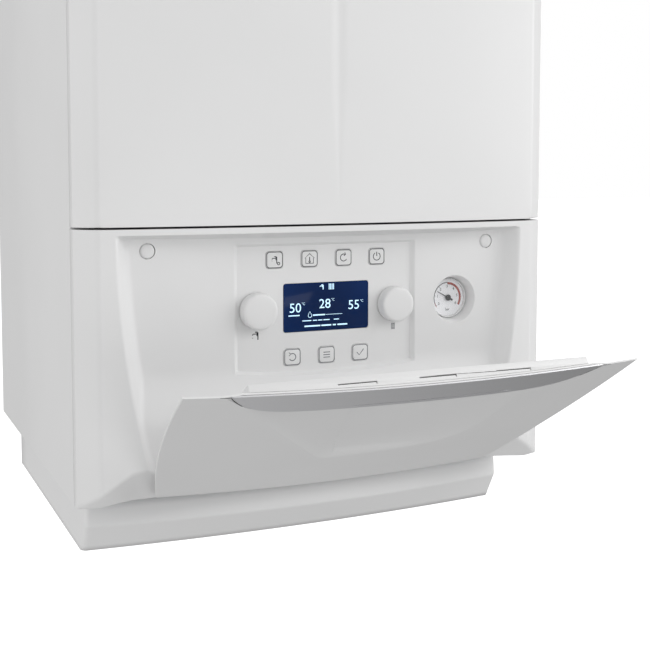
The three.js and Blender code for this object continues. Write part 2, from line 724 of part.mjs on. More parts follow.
function electronicsBox() {
  const outer = box(-170, 170, BOX_FRONT, BOX_BACK, 14, 216);
  const inner = box(-168, 168, BOX_FRONT - 1, BOX_BACK - 2, 16, 214);
  const gaugeRoom = rod("y", GAUGE_R + 3, GAUGE_Y, -370, [GAUGE_X, GAUGE_Z], 16);
  const posts = [-1, 1].flatMap((s) =>
    [40, 200].map((z) => box(s * 100 - 5, s * 100 + 5, BOARD_Y + 1.9, BOX_BACK - 1, z - 5, z + 5)),
  );
  const vents = span(-120, 120, 8).map((x) => box(x - 8, x + 8, -375, -345, 213, 217));
  return cut(join(cut(outer, inner), ...posts), gaugeRoom, ...vents);
}

function controlBoard() {
  const board = box(-106, 106, BOARD_Y, BOARD_Y + 1.6, 30, 208);
  const screen = box(-46, 46, PLATE_Y + 2.6, BOARD_Y + 0.5, 130, 182);
  const pots = [-KNOB_X, KNOB_X].map((x) =>
    box(x - 8, x + 8, BOARD_Y - 6, BOARD_Y + 0.5, KNOB_Z - 9.8, KNOB_Z + 7.2),
  );
  const switches = BUTTONS.map(([, x, z]) =>
    box(x - 3, x + 3, BOARD_Y - 1.6, BOARD_Y + 0.5, z - 3, z + 3),
  );
  const relays = span(-70, 70, 4).map((x) => box(x - 9, x + 9, BOARD_Y + 1, BOARD_Y + 17, 48, 70));
  const transformer = box(20, 75, BOARD_Y + 1, BOARD_Y + 34, 84, 130);
  return join(board, screen, ...pots, ...switches, ...relays, transformer);
}

place("panel_fascia", fascia(), WHITE_PLASTIC, panel);
place("control_plate", controlPlate(), WHITE_PLASTIC, panel);
const windowOutline = roundedOutline(-DISPLAY_HALF, DISPLAY_HALF, DISPLAY_LOW, DISPLAY_TOP, 2, 2);
place("display_lens", pushY(windowOutline, PLATE_Y - 0.3, PLATE_Y + 2.2), NAVY_GLASS, panel);
place("hot_water_knob", knob(-KNOB_X), WHITE_PLASTIC, panel);
place("heating_knob", knob(KNOB_X), WHITE_PLASTIC, panel);
for (const [name, x, z] of BUTTONS) place(name, button(x, z), WHITE_PLASTIC, panel);
place("gauge_body", gaugeBody(), WHITE_PLASTIC, panel);
place("gauge_needle", gaugeNeedle(), BLACK_PLASTIC, panel);
place("gauge_lens", gaugeLens(), CLEAR, panel);
place("left_screw_cap", screwCap(-1), WHITE_PLASTIC, panel);
place("right_screw_cap", screwCap(1), WHITE_PLASTIC, panel);
place("electronics_box", electronicsBox(), DARK_PLASTIC, panel);
place("control_board", controlBoard(), BOARD_GREEN, panel);

// ---- Flap: shaped shut, then turned to its open stop ----
const flap = new THREE.Group();
flap.position.set(0, FLAP_AXIS_Y, FLAP_AXIS_Z);
flap.rotation.x = THREE.MathUtils.degToRad(FLAP_OPEN);
panel.add(flap);
const fromAxis = (body) => body.translate([0, -FLAP_AXIS_Y, -FLAP_AXIS_Z]);

const flapY = (x) => FLAP_FRONT + FLAP_BOW * (x / FLAP_BOW_X) ** 2;
const clamp01 = (value) => Math.min(Math.max(value, 0), 1);
const trimEdge = (x) => SCOOP_TOP + (FLAP_TOP - SCOOP_TOP) * clamp01(Math.abs(x) / TRIM_HALF) ** TRIM_POWER;
// Lower edge of the scoop: a straight slant, a level foot and a round corner.
function scoopEdge(x) {
  const [[x0, z0], [x1, z1]] = [SLANT_TOP, SLANT_FOOT];
  const slant = z1 + ((x1 - x) * (z0 - z1)) / (x1 - x0);
  const share = clamp01((x - CORNER_FROM) / (CORNER_TO - CORNER_FROM));
  const corner = CORNER_TOP - (CORNER_TOP - SCOOP_FOOT) * (1 - share ** 3) ** (1 / 3);
  return Math.min(Math.max(slant, corner), trimEdge(x) - 4);
}
function scoopDepth(x, z) {
  const up = z - scoopEdge(x);
  if (up <= 0 || x < SLANT_TOP[0] || x > CORNER_TO) return 0;
  const ease = 1 - (1 - clamp01(up / 75)) ** 3;
  const fade = 1 - (1 - clamp01((CORNER_TO - x) / 70)) ** 1.5;
  return SCOOP_DEPTH * ease * fade * (1 - clamp01((-x - 60) / 81) ** 3);
}

// A slab whose front and back follow depths given on a grid of columns and rows.
function gridSlab(columns, rowsAt, front, back) {
  const grid = columns.map((x) => rowsAt(x));
  const rows = grid[0].length;
  const layer = (depth) =>
    columns.map((x, i) => grid[i].map((z, j) => [x, depth(x, z, j), z]));
  const positions = [layer(front), layer(back)].flat(3);
  const faces = [];
  const at = (side, i, j) => (side * columns.length + i) * rows + j;
  const quad = (a, b, c, d) => faces.push(a, b, c, a, c, d);
  for (let i = 0; i + 1 < columns.length; i++) {
    for (let j = 0; j + 1 < rows; j++) {
      quad(at(0, i, j), at(0, i + 1, j), at(0, i + 1, j + 1), at(0, i, j + 1));
      quad(at(1, i, j), at(1, i, j + 1), at(1, i + 1, j + 1), at(1, i + 1, j));
    }
    quad(at(0, i, 0), at(1, i, 0), at(1, i + 1, 0), at(0, i + 1, 0));
    quad(at(0, i, rows - 1), at(0, i + 1, rows - 1), at(1, i + 1, rows - 1), at(1, i, rows - 1));
  }
  const end = columns.length - 1;
  for (let j = 0; j + 1 < rows; j++) {
    quad(at(0, 0, j), at(0, 0, j + 1), at(1, 0, j + 1), at(1, 0, j));
    quad(at(0, end, j), at(1, end, j), at(1, end, j + 1), at(0, end, j + 1));
  }
  const made = new THREE.BufferGeometry();
  made.setAttribute("position", new THREE.Float32BufferAttribute(positions, 3));
  made.setIndex(faces);
  return solid(made);
}

function flapShell() {
  const ends = [TRIM_HALF - 7, TRIM_HALF - 3, TRIM_HALF, 170, 200];
  const columns = [
    ...ends.map((x) => -x).reverse(),
    ...span(SLANT_TOP[0], SLANT_FOOT[0], 6),
    ...span(-26, 60, 5),
    ...span(70, CORNER_TO, 3),
    ...span(110, 140, 3),
    ...ends,
  ];
  const rowsAt = (x) => {
    const low = scoopEdge(x);
    const share = (part) => low + (trimEdge(x) - 1 - low) * part;
    return [0, 40, low, share(0.12), share(0.3), share(0.6), share(1), trimEdge(x), 240];
  };
  const seatRow = 7; // rows from here up carry the trim
  const seat = (x, j) => (j >= seatRow && Math.abs(x) < TRIM_HALF + 1 ? TRIM_THICK + GAP : 0);
  const front = (x, z, j) => flapY(x) + Math.max(j < seatRow ? scoopDepth(x, z) : 0, seat(x, j));
  const behindPocket = (x, z) =>
    x < -60 || x > 66 ? 0 : POCKET_DEPTH * clamp01((z - 70) / 100) * clamp01((66 - x) / 60);
  const back = (x, z, j) => {
    const sunk = (j < seatRow ? scoopDepth(x, z) + behindPocket(x, z) : seat(x, j)) + 1.4;
    return flapY(x) + Math.max(FLAP_SKIN, sunk);
  };
  const slab = gridSlab(columns, rowsAt, front, back);
  const skin = common(slab, pushY(shield(FLAP_LOW, FLAP_TOP, FLAP_MARGIN), -460, -400));
  // The pocket: its left side is a step, its floor rises to a crease on the right.
  const corners = [
    [-26, 84, 2.8],
    [58, 86, 0.4],
    [10, SCOOP_TOP - 1, SCOOP_DEPTH],
    [-49, SCOOP_TOP - 1, SCOOP_DEPTH + POCKET_DEPTH],
  ];
  const pocket = loft([
    corners.map(([x, z]) => [x, FLAP_FRONT - 20, z]),
    corners.map(([x, z, deep]) => [x, flapY(x) + deep, z]),
  ]);
  const axis = [FLAP_AXIS_Y, FLAP_AXIS_Z];
  const eyeR = 4.5;
  const eyes = [-1, 1].map((s) => {
    const x0 = s * EYE_X - EAR_THICK / 2;
    return join(
      rod("x", eyeR, x0, x0 + EAR_THICK, axis, 14),
      box(x0, x0 + EAR_THICK, -425.5, FLAP_AXIS_Y, FLAP_AXIS_Z - eyeR, FLAP_AXIS_Z + eyeR),
    );
  });
  return fromAxis(cut(join(cut(skin, pocket), ...eyes), rod("x", PIN_R + GAP, -156, 156, axis, 12)));
}

// The liner: a shallow tray behind the skin with a deep rim along the free edge.
function flapLiner() {
  const half = (z) => Math.min(LINER_HALF, recessHalf(z) - 24);
  const right = span(LINER_LOW, FLAP_TOP - 0.2, 4).map((z) => [half(z), z]);
  const outline = [...right, ...right.map(([x, z]) => [-x, z]).reverse()];
  const blank = pushY(outline, FLAP_FRONT, LINER_BACK);
  const hollow = pushY(inset(outline, 2), FLAP_FRONT - 1, LINER_BACK - LINER_WALL);
  const columns = span(-200, 200, 20);
  const roomTo = (low, deep) => gridSlab(columns, () => [low, 240], () => -460, (x) => flapY(x) + deep);
  const behind = roomTo(0, FLAP_SKIN + GAP);
  const seatRoom = roomTo(180, TRIM_THICK + 1.4 + 2 * GAP);
  const scoopRoom = box(SLANT_TOP[0], -SLANT_TOP[0], -440, LINER_BACK - LINER_WALL - 0.2, 70, 196);
  const slots = SLOT_XS.map((x) => {
    const rim = [FLAP_TOP - 2, FLAP_TOP + 1];
    const end = x + SLOT_LONG;
    return join(
      box(x, end, SLOT_Y, SLOT_Y + SLOT_WIDE, ...rim),
      box(end - SLOT_WIDE, end, SLOT_Y - HOOK_LONG + SLOT_WIDE, SLOT_Y + SLOT_WIDE, ...rim),
    );
  });
  return fromAxis(cut(blank, hollow, behind, scoopRoom, seatRoom, ...slots));
}

function flapTrim() {
  const columns = span(-TRIM_HALF, TRIM_HALF, 20);
  const slab = gridSlab(
    [-170, ...columns, 170],
    () => [170, 240],
    (x) => flapY(x),
    (x) => flapY(x) + TRIM_THICK,
  );
  const half = TRIM_HALF - 1.2;
  const lower = span(-half, half, 24).map((x) => [x, trimEdge(x * 1.004) + 0.6]);
  const outline = [...lower, [half, FLAP_TOP - 0.2], [-half, FLAP_TOP - 0.2]];
  return fromAxis(common(slab, pushY(outline, -460, -400)));
}

place("flap_shell", flapShell(), WHITE_PLASTIC, flap);
place("flap_liner", flapLiner(), WHITE_PLASTIC, flap);
place("flap_trim", flapTrim(), SILVER_TRIM, flap);
for (const [name, x0] of [["left_flap_pin", -157], ["right_flap_pin", 145]]) {
  place(name, rod("x", PIN_R, x0, x0 + 12, [FLAP_AXIS_Y, FLAP_AXIS_Z], 10), STEEL, panel);
}

// ---- Combustion side ----
const DRUM_X = -60;
const DRUM_Z = 590;
const DRUM_FRONT = -320;
const DRUM_BACK = -125;

function condensingModule() {
  const drum = turnedY(
    [
      [58, DRUM_FRONT],
      [112, DRUM_FRONT],
      [112, DRUM_FRONT + 8],
      [118, DRUM_FRONT + 14],
      [118, DRUM_BACK - 14],
      [108, DRUM_BACK],
      [0, DRUM_BACK],
      [0, DRUM_BACK - 30],
      [58, DRUM_BACK - 30],
      [58, DRUM_FRONT],
    ],
    DRUM_X,
    DRUM_Z,
    26,
  );
  const beam = box(DRUM_X - 50, DRUM_X + 50, DRUM_FRONT + 20, BACK_FACE, DRUM_Z + 113, DRUM_Z + 119);
  const arm = box(DRUM_X - 124, DRUM_X - 117, DRUM_FRONT + 20, BACK_FACE, DRUM_Z - 30, DRUM_Z + 30);
  const armFoot = box(DRUM_X - 124, DRUM_X - 106, DRUM_FRONT + 30, DRUM_BACK - 20, DRUM_Z - 20, DRUM_Z + 20);
  const sump = box(DRUM_X - 40, DRUM_X + 40, DRUM_FRONT + 30, DRUM_BACK - 20, DRUM_Z - 134, DRUM_Z - 100);
  const hollow = rod("y", 57, DRUM_FRONT - 1, DRUM_BACK - 29, [DRUM_X, DRUM_Z], 28);
  return cut(join(drum, beam, arm, armFoot, sump), hollow);
}

function exchangerDoor() {
  const y = DRUM_FRONT - GAP;
  const disc = turnedY([[0, y - 9], [84, y - 9], [106, y - 4], [106, y], [0, y]], DRUM_X, DRUM_Z, 32);
  const inlet = rod("y", 27, y - 24, y - 5, [DRUM_X, DRUM_Z], 20);
  const bore = rod("y", 22, y - 30, y + 1, [DRUM_X, DRUM_Z], 20);
  const spark = rod("y", 4.5, y - 30, y + 1, [DRUM_X + 46, DRUM_Z], 10);
  return cut(join(disc, inlet), bore, spark);
}

function burner() {
  const end = DRUM_BACK - 50;
  const profile = [
    [24, DRUM_FRONT],
    [40, DRUM_FRONT],
    [40, DRUM_FRONT + 2],
    [34, DRUM_FRONT + 2],
    [34, end],
    [0, end],
    [0, end - 2],
    [32, end - 2],
    [32, DRUM_FRONT + 4],
    [24, DRUM_FRONT + 4],
    [24, DRUM_FRONT],
  ];
  return turnedY(profile, DRUM_X, DRUM_Z, 24);
}

const FAN_X = 128;
const FAN_Z = 560;
const FAN_FRONT = -330;
const FAN_BACK = -278;
function fanHousing() {
  const scroll = rod("y", 62, FAN_FRONT, FAN_BACK, [FAN_X, FAN_Z], 28);
  const outlet = box(FAN_X - 62, FAN_X - 22, FAN_FRONT, FAN_BACK, FAN_Z, FAN_Z + 92);
  const inside = rod("y", 58, FAN_FRONT + 4, FAN_BACK - 4, [FAN_X, FAN_Z], 28);
  const throat = box(FAN_X - 58, FAN_X - 26, FAN_FRONT + 4, FAN_BACK - 4, FAN_Z, FAN_Z + 93);
  const eye = rod("y", 24, FAN_FRONT - 22, FAN_FRONT + 5, [FAN_X, FAN_Z], 20);
  const nozzle = rod("y", 28, FAN_FRONT - 20, FAN_FRONT + 1, [FAN_X, FAN_Z], 20);
  const shaft = rod("y", 6, FAN_BACK - 6, FAN_BACK + 1, [FAN_X, FAN_Z], 12);
  const foot = box(FAN_X + 40, FAN_X + 68, FAN_BACK - 4, BACK_FACE, FAN_Z - 66, FAN_Z - 58);
  const web = box(FAN_X + 40, FAN_X + 50, FAN_BACK - 10, FAN_BACK, FAN_Z - 60, FAN_Z - 34);
  return cut(join(scroll, outlet, nozzle, foot, web), inside, throat, eye, shaft);
}

function fanImpeller() {
  const y0 = FAN_FRONT + 7;
  const y1 = FAN_BACK - 7;
  const disc = rod("y", 50, y1 - 3, y1, [0, 0], 24);
  const hub = rod("y", 9, y0 + 8, y1, [0, 0], 12);
  const shaft = rod("y", 4, y1 - 1, FAN_BACK + 18, [0, 0], 10);
  const rim = cut(rod("y", 50, y0, y0 + 3, [0, 0], 24), rod("y", 34, y0 - 1, y0 + 4, [0, 0], 20));
  const blades = span(0, 315, 7).map((turn) =>
    box(30, 47, y0 + 0.5, y1 - 0.5, -1.2, 1.2).rotate([0, turn, 0]),
  );
  return join(disc, hub, shaft, rim, ...blades).translate([FAN_X, 0, FAN_Z]);
}

function fanMotor() {
  const y = FAN_BACK + GAP;
  return turnedY(
    [[7, y], [38, y], [38, y + 6], [32, y + 10], [32, y + 46], [0, y + 46], [0, y + 22], [7, y + 22], [7, y]],
    FAN_X,
    FAN_Z,
    24,
  );
}

function gasAirManifold() {
  const y = -362;
  const top = FAN_Z + 92 + GAP;
  const x = FAN_X - 42;
  const doorFace = DRUM_FRONT - GAP - 24 - GAP;
  const over = top + 40; // height of the run across
  const way = [
    [x, -304, top],
    [x, -304, over],
    [x, y, over],
    [DRUM_X, y, over],
    [DRUM_X, y, DRUM_Z - 2],
    [DRUM_X, doorFace, DRUM_Z - 2],
  ];
  const riser = pipe(way, 17, 16, 10);
  const flange = box(x - 24, x + 24, -328, -280, top, top + 6);
  return join(riser, flange);
}

const VALVE_X = 128;
const VALVE_Z = 330;
function gasValve() {
  const body = box(VALVE_X - 38, VALVE_X + 38, -300, -230, VALVE_Z - 36, VALVE_Z + 36);
  const coils = [-18, 18].map((dx) => rod("z", 14, VALVE_Z + 30, VALVE_Z + 66, [VALVE_X + dx, -250], 16));
  const outlet = rod("y", 12, -312, -299, [VALVE_X, VALVE_Z + 14], 14);
  const inlet = rod("z", 14, VALVE_Z - 50, VALVE_Z - 30, [VALVE_X, -262], 14);
  const bracket = box(VALVE_X + 30, VALVE_X + 40, -240, BACK_FACE, VALVE_Z - 20, VALVE_Z - 14);
  return join(body, ...coils, outlet, inlet, bracket);
}

function gasFeedPipe() {
  return pipe(
    [
      [VALVE_X, -312.3, VALVE_Z + 14],
      [VALVE_X, -372, VALVE_Z + 14],
      [VALVE_X, -372, FAN_Z],
      [VALVE_X, FAN_FRONT - 20.3, FAN_Z],
    ],
    8,
    18,
  );
}

function flueDuct() {
  const rear = -200;
  const z0 = DRUM_Z + 119.3;
  const way = [
    [DRUM_X, rear, z0],
    [DRUM_X, rear, 745],
    [0, FLUE_Y, 800],
    [0, FLUE_Y, CASING_TOP + 2],
  ];
  const tube = pipe(way, 30, 26, 12);
  return cut(tube, rod("z", 26, 830, 900, [0, FLUE_Y], 20));
}

function flueCollar() {
  const z0 = CASING_TOP + GAP;
  const flange = rod("z", 68, z0, z0 + 4, [0, FLUE_Y], 24);
  const outer = rod("z", 50, z0, z0 + 26, [0, FLUE_Y], 24);
  const airWay = rod("z", 47, z0 - 1, z0 + 30, [0, FLUE_Y], 24);
  const socket = rod("z", 31, z0 - 1, z0 + 30, [0, FLUE_Y], 24);
  const inner = cut(rod("z", 34, z0, z0 + 26, [0, FLUE_Y], 24), socket);
  const spokes = [0, 90].map((turn) =>
    cut(box(-48, 48, -1.5, 1.5, z0, z0 + 14), rod("z", 31, z0 - 1, z0 + 30, [0, 0], 24))
      .rotate([0, 0, turn])
      .translate([0, FLUE_Y, 0]),
  );
  return join(cut(join(flange, outer), airWay), inner, ...spokes);
}

function expansionVessel() {
  const x = -30;
  const z = 560;
  const y0 = -110;
  const y1 = -12;
  const shell = turnedY(
    [
      [0, y0],
      [70, y0 + 4],
      [118, y0 + 20],
      [136, y0 + 44],
      [136, y1 - 44],
      [118, y1 - 20],
      [70, y1 - 4],
      [0, y1],
    ],
    x,
    z,
    28,
  );
  const port = rod("z", 8, z - 168, z - 128, [x, (y0 + y1) / 2], 12);
  const straps = [x - 40, x + 40].map((at) => box(at - 12, at + 12, y1 - 20, BACK_FACE, z - 12, z + 12));
  return join(shell, port, ...straps);
}

place("condensing_module", condensingModule(), STEEL);
place("exchanger_door", exchangerDoor(), CAST_ALUMINIUM);
place("burner", burner(), STEEL);
place(
  "ignition_electrode",
  join(
    rod("y", 4, DRUM_FRONT - 34, DRUM_FRONT + 6, [DRUM_X + 46, DRUM_Z], 10),
    rod("y", 1.5, DRUM_FRONT + 5, DRUM_FRONT + 40, [DRUM_X + 46, DRUM_Z], 8),
  ),
  CERAMIC,
);
place("fan_housing", fanHousing(), CAST_ALUMINIUM);
place("fan_impeller", fanImpeller(), GREY_PLASTIC);
place("fan_motor", fanMotor(), BLACK_PLASTIC);
place("gas_air_manifold", gasAirManifold(), CAST_ALUMINIUM);
place("gas_valve", gasValve(), CAST_ALUMINIUM);
place("gas_feed_pipe", gasFeedPipe(), COPPER);
place("flue_duct", flueDuct(), GREY_PLASTIC);
place("flue_collar", flueCollar(), WHITE_PLASTIC);
place("expansion_vessel", expansionVessel(), RED_PAINT);

// ---- Water side ----
const [FLOW_X, HOT_X, GAS_X, COLD_X, RETURN_X] = PIPE_XS;
const BLOCK_LOW = 78;

function flowBlock() {
  const body = box(FLOW_X - 22, HOT_X + 20, -140, -80, BLOCK_LOW, BLOCK_LOW + 46);
  const neck = rod("z", 17, BLOCK_LOW + 40, BLOCK_LOW + 62, [FLOW_X, PIPES_Y], 16);
  const ports = [FLOW_X, HOT_X].map((x) =>
    rod("z", 15, BLOCK_LOW - 12, BLOCK_LOW + 4, [x, PIPES_Y], 14),
  );
  const foot = box(FLOW_X - 10, FLOW_X + 10, -82, BACK_FACE, BLOCK_LOW + 6, BLOCK_LOW + 18);
  return join(body, neck, ...ports, foot);
}

function returnBlock() {
  const body = box(COLD_X - 20, RETURN_X + 24, -140, -80, BLOCK_LOW, BLOCK_LOW + 46);
  const volute = rod("y", 44, -178, -128, [RETURN_X + 4, BLOCK_LOW + 62], 24);
  const ports = [COLD_X, RETURN_X].map((x) =>
    rod("z", 15, BLOCK_LOW - 12, BLOCK_LOW + 4, [x, PIPES_Y], 14),
  );
  const outlet = rod("z", 15, BLOCK_LOW + 100, BLOCK_LOW + 122, [RETURN_X + 4, -152], 14);
  const foot = box(RETURN_X - 10, RETURN_X + 10, -82, BACK_FACE, BLOCK_LOW + 6, BLOCK_LOW + 18);
  return join(body, volute, ...ports, outlet, foot);
}

function pumpMotor() {
  const y = -178 - GAP;
  return turnedY(
    [[0, y - 74], [30, y - 74], [38, y - 66], [38, y - 12], [46, y - 10], [46, y], [0, y]],
    RETURN_X + 4,
    BLOCK_LOW + 62,
    24,
  );
}

function plateExchanger() {
  const outline = roundedOutline(HOT_X + 21, COLD_X - 21, BLOCK_LOW + 2, BLOCK_LOW + 44, 8, 2);
  const core = pushY(inset(outline, 1.2), -150, -62);
  const plates = span(-149, -66, 5).map((y) => pushY(outline, y, y + 3.2));
  const foot = box(-14, 14, -63, BACK_FACE, BLOCK_LOW + 14, BLOCK_LOW + 26);
  return join(core, ...plates, foot);
}

function threeWayMotor() {
  const z0 = BLOCK_LOW + 46 + GAP;
  const base = box(HOT_X - 18, HOT_X + 18, -136, -92, z0, z0 + 34);
  const head = rod("z", 14, z0 + 30, z0 + 48, [HOT_X, -114], 16);
  return join(base, head);
}

function siphonTrap() {
  const cup = rod("z", 26, 62, 190, [TRAP_X, TRAP_Y], 20);
  const tail = rod("z", 12, -20, 70, [TRAP_X, TRAP_Y], 14);
  const under = DRUM_X - 10;
  const way = [
    [TRAP_X, TRAP_Y, 180],
    [TRAP_X, TRAP_Y, 260],
    [under, TRAP_Y, 300],
    [under, TRAP_Y, DRUM_Z - 134.4],
  ];
  const neck = pipe(way, 9, 24);
  const foot = box(TRAP_X - 8, TRAP_X + 8, TRAP_Y + 20, BACK_FACE, 100, 116);
  return join(cup, tail, neck, foot);
}

function safetyValve() {
  const x = GAS_X + 22;
  const z = 176;
  const body = rod("z", 11, z - 30, z + 10, [x + 18, -128], 14);
  const cap = rod("z", 15, z + 8, z + 26, [x + 18, -128], 12);
  const spout = rod("y", 8, -128, -96, [x + 18, z - 8], 12);
  const arm = box(x + 12, x + 24, -120, BACK_FACE, z - 22, z - 12);
  return join(body, cap, spout, arm);
}

function fillingTapHandle() {
  const z = -34;
  const stem = rod("z", 4, z + 8, 22, [TAP_X, PIPES_Y], 12);
  const grip = rod("z", 11, z, z + 12, [TAP_X, PIPES_Y], 8);
  return join(stem, grip);
}

// A pipe connection with a hexagon nut, from below the casing up to its block.
function connection(x, top, nut) {
  return join(
    rod("z", PIPE_R, PIPE_LOW, top, [x, PIPES_Y], 16),
    rod("z", nut, -38, -20, [x, PIPES_Y], 6),
    rod("z", PIPE_R + 3, 5, 14, [x, PIPES_Y], 16),
  );
}

function tapSeat() {
  const valve = rod("z", 10, 26, 54, [TAP_X, PIPES_Y], 14);
  const arm = rod("x", 7, COLD_X + 4, TAP_X, [PIPES_Y, 42], 12);
  const bore = rod("z", 4.6, 20, 40, [TAP_X, PIPES_Y], 12);
  return cut(join(valve, arm), bore);
}

const blockFace = BLOCK_LOW - 12 - GAP;
place("flow_block", flowBlock(), BRASS);
place("return_block", returnBlock(), DARK_PLASTIC);
place("pump_motor", pumpMotor(), BLACK_PLASTIC);
place("plate_heat_exchanger", plateExchanger(), STEEL);
place("three_way_valve_motor", threeWayMotor(), BLACK_PLASTIC);
place("siphon_trap", siphonTrap(), GREY_PLASTIC);
place("safety_valve", safetyValve(), BRASS);
place("filling_tap_handle", fillingTapHandle(), BLUE_PLASTIC);
place("heating_flow_pipe", connection(FLOW_X, blockFace, 16), COPPER);
place("hot_water_pipe", connection(HOT_X, blockFace, 13), COPPER);
place("cold_water_pipe", join(connection(COLD_X, blockFace, 13), tapSeat()), COPPER);
place("heating_return_pipe", connection(RETURN_X, blockFace, 16), COPPER);
const gasWay = [
  [GAS_X, PIPES_Y, 30],
  [GAS_X, PIPES_Y, 60],
  [GAS_X, -262, 60],
  [GAS_X, -262, 225],
  [VALVE_X, -262, 225],
  [VALVE_X, -262, VALVE_Z - 50.3],
];
place("gas_inlet_pipe", join(connection(GAS_X, 40, 16), pipe(gasWay, PIPE_R, 24)), COPPER);
const flowWay = [
  [FLOW_X, PIPES_Y, BLOCK_LOW + 62.3],
  [FLOW_X, PIPES_Y, 330],
  [FLOW_X - 10, -250, 400],
  [FLOW_X - 10, -250, DRUM_Z - 97],
];
place("flow_riser", pipe(flowWay, 8, 24), COPPER);
const returnWay = [
  [RETURN_X + 4, -152, BLOCK_LOW + 122.3],
  [RETURN_X + 4, -152, 430],
  [75, -152, 520],
  [75, -152, DRUM_Z],
  [58.6, -152, DRUM_Z],
];
place("return_riser", pipe(returnWay, 8, 12), COPPER);

export default boiler;
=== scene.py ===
# %% [markdown]
# # A wall-hung combi boiler
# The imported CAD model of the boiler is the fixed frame: it says where everything sits and what
# moves. This lesson dresses it. We build the sheet-metal front, the moulded control panel with its
# drop-down flap, the knobs, buttons, display and pressure gauge as fine meshes, give each surface
# the finish it has on the real appliance, and light it like a catalogue picture.

# %% Load the frame
import math
import bmesh
import bpy
from mathutils import Matrix, Vector


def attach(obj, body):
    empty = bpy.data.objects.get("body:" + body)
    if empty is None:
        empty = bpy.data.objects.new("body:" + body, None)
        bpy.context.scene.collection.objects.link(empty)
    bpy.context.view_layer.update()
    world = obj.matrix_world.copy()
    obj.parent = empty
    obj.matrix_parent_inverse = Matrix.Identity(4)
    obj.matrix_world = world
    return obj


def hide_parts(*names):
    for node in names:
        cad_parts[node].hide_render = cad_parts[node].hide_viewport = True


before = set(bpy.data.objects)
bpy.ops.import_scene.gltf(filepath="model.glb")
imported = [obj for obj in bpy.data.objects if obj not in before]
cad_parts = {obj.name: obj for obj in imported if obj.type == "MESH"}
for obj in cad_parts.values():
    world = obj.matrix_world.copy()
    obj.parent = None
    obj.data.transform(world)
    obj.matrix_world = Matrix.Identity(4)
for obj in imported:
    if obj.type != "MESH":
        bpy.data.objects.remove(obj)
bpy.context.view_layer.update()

# %% [markdown]
# ## Small tools
# Blender works in metres, a boiler maker in millimetres, so every size below is written in
# millimetres and multiplied by MM when it reaches a mesh. Colours are written as the hex value
# that a screen shows and turned to the linear light that a shader mixes.

# %% Units, colours and nodes
MM = 0.001


def linear(hex_value):
    """The linear RGBA of an sRGB hex colour."""
    channels = [(hex_value >> shift & 255) / 255 for shift in (16, 8, 0)]
    return (*[c / 12.92 if c <= 0.04045 else ((c + 0.055) / 1.055) ** 2.4 for c in channels], 1)


def add(tree, kind, inputs=None, **settings):
    """One new node: its settings by name, and its inputs as values or as sockets to link."""
    node = tree.nodes.new(kind)
    for key, value in settings.items():
        setattr(node, key, value)
    for key, value in (inputs or {}).items():
        if isinstance(value, bpy.types.NodeSocket):
            tree.links.new(value, node.inputs[key])
        else:
            node.inputs[key].default_value = value
    return node


def per_metre(size_mm):
    """The texture scale that makes one cell of a pattern this many millimetres wide."""
    return 1 / (size_mm * MM)


print("scale of a 2 mm grain:", per_metre(2))

# %% [markdown]
# ## Camera
# The photograph was taken from the left, a little above the control panel, with a fairly long
# lens, so upright edges stay upright. The small downward shift gives the picture's framing: the
# boiler's upper half is cut off by the top of the picture.

# %% The photographer's camera
camera = bpy.data.objects.new("camera", bpy.data.cameras.new("camera"))
camera.location = (-0.3974, -1.2896, 0.2775)
camera.rotation_euler = (math.radians(90 - 4.026), 0, math.radians(-24.119))
camera.data.sensor_width = 36
camera.data.lens = 61.8
camera.data.shift_y = -0.12
camera.data.clip_start = 0.01
bpy.context.scene.collection.objects.link(camera)
bpy.context.scene.camera = camera
print("camera to wall:", round(-camera.location.y, 3), "m")

# %% [markdown]
# ## Studio
# A white appliance on white needs very soft light. Most of it comes from a pale sky, a little
# brighter overhead than below, and dimmer low on the right, which darkens the right end of the
# silver strip. A large softbox far to the right grazes the bowed front and makes its right side
# lighter than its left. Two more in front, one high and one low, model the recess and the flap,
# and one on the left lifts the side panel. The floor lies a metre below, as under a wall boiler.

# %% Sky
scene = bpy.context.scene
scene.view_settings.view_transform = "Standard"

world = bpy.data.worlds.new("studio")
world.use_nodes = True
sky = world.node_tree
sky.nodes.clear()
direction = add(sky, "ShaderNodeTexCoord").outputs["Generated"]
aim = add(sky, "ShaderNodeSeparateXYZ", {"Vector": direction})
SKY_BELOW, SKY_ABOVE, SKY_LEFT, SKY_RIGHT = 0.57, 0.62, 1.12, 0.42
height = add(
    sky,
    "ShaderNodeMapRange",
    {
        "Value": aim.outputs["Z"],
        "From Min": -0.6,
        "From Max": 0.9,
        "To Min": SKY_BELOW,
        "To Max": SKY_ABOVE,
    },
)
falling = add(
    sky,
    "ShaderNodeMapRange",
    {
        "Value": aim.outputs["X"],
        "From Min": 0.2,
        "From Max": 0.62,
        "To Min": SKY_LEFT,
        "To Max": SKY_RIGHT,
    },
)
upper = add(sky, "ShaderNodeMapRange", {"Value": aim.outputs["Z"], "From Min": -0.6, "From Max": -0.1})
dimmed = add(sky, "ShaderNodeMath", {0: falling.outputs[0], 1: upper.outputs[0]}, operation="MAXIMUM")
lit_by = {0: height.outputs[0], 1: dimmed.outputs[0]}
strength = add(sky, "ShaderNodeMath", lit_by, operation="MULTIPLY")
seen = add(sky, "ShaderNodeLightPath")
glow = add(sky, "ShaderNodeBackground", {"Color": linear(0xF8F8F8), "Strength": strength.outputs[0]})
backdrop = add(sky, "ShaderNodeBackground", {"Color": (1, 1, 1, 1), "Strength": 1.0})
chosen = add(
    sky,
    "ShaderNodeMixShader",
    {0: seen.outputs["Is Camera Ray"], 1: glow.outputs[0], 2: backdrop.outputs[0]},
)
add(sky, "ShaderNodeOutputWorld", {"Surface": chosen.outputs[0]})
scene.world = world
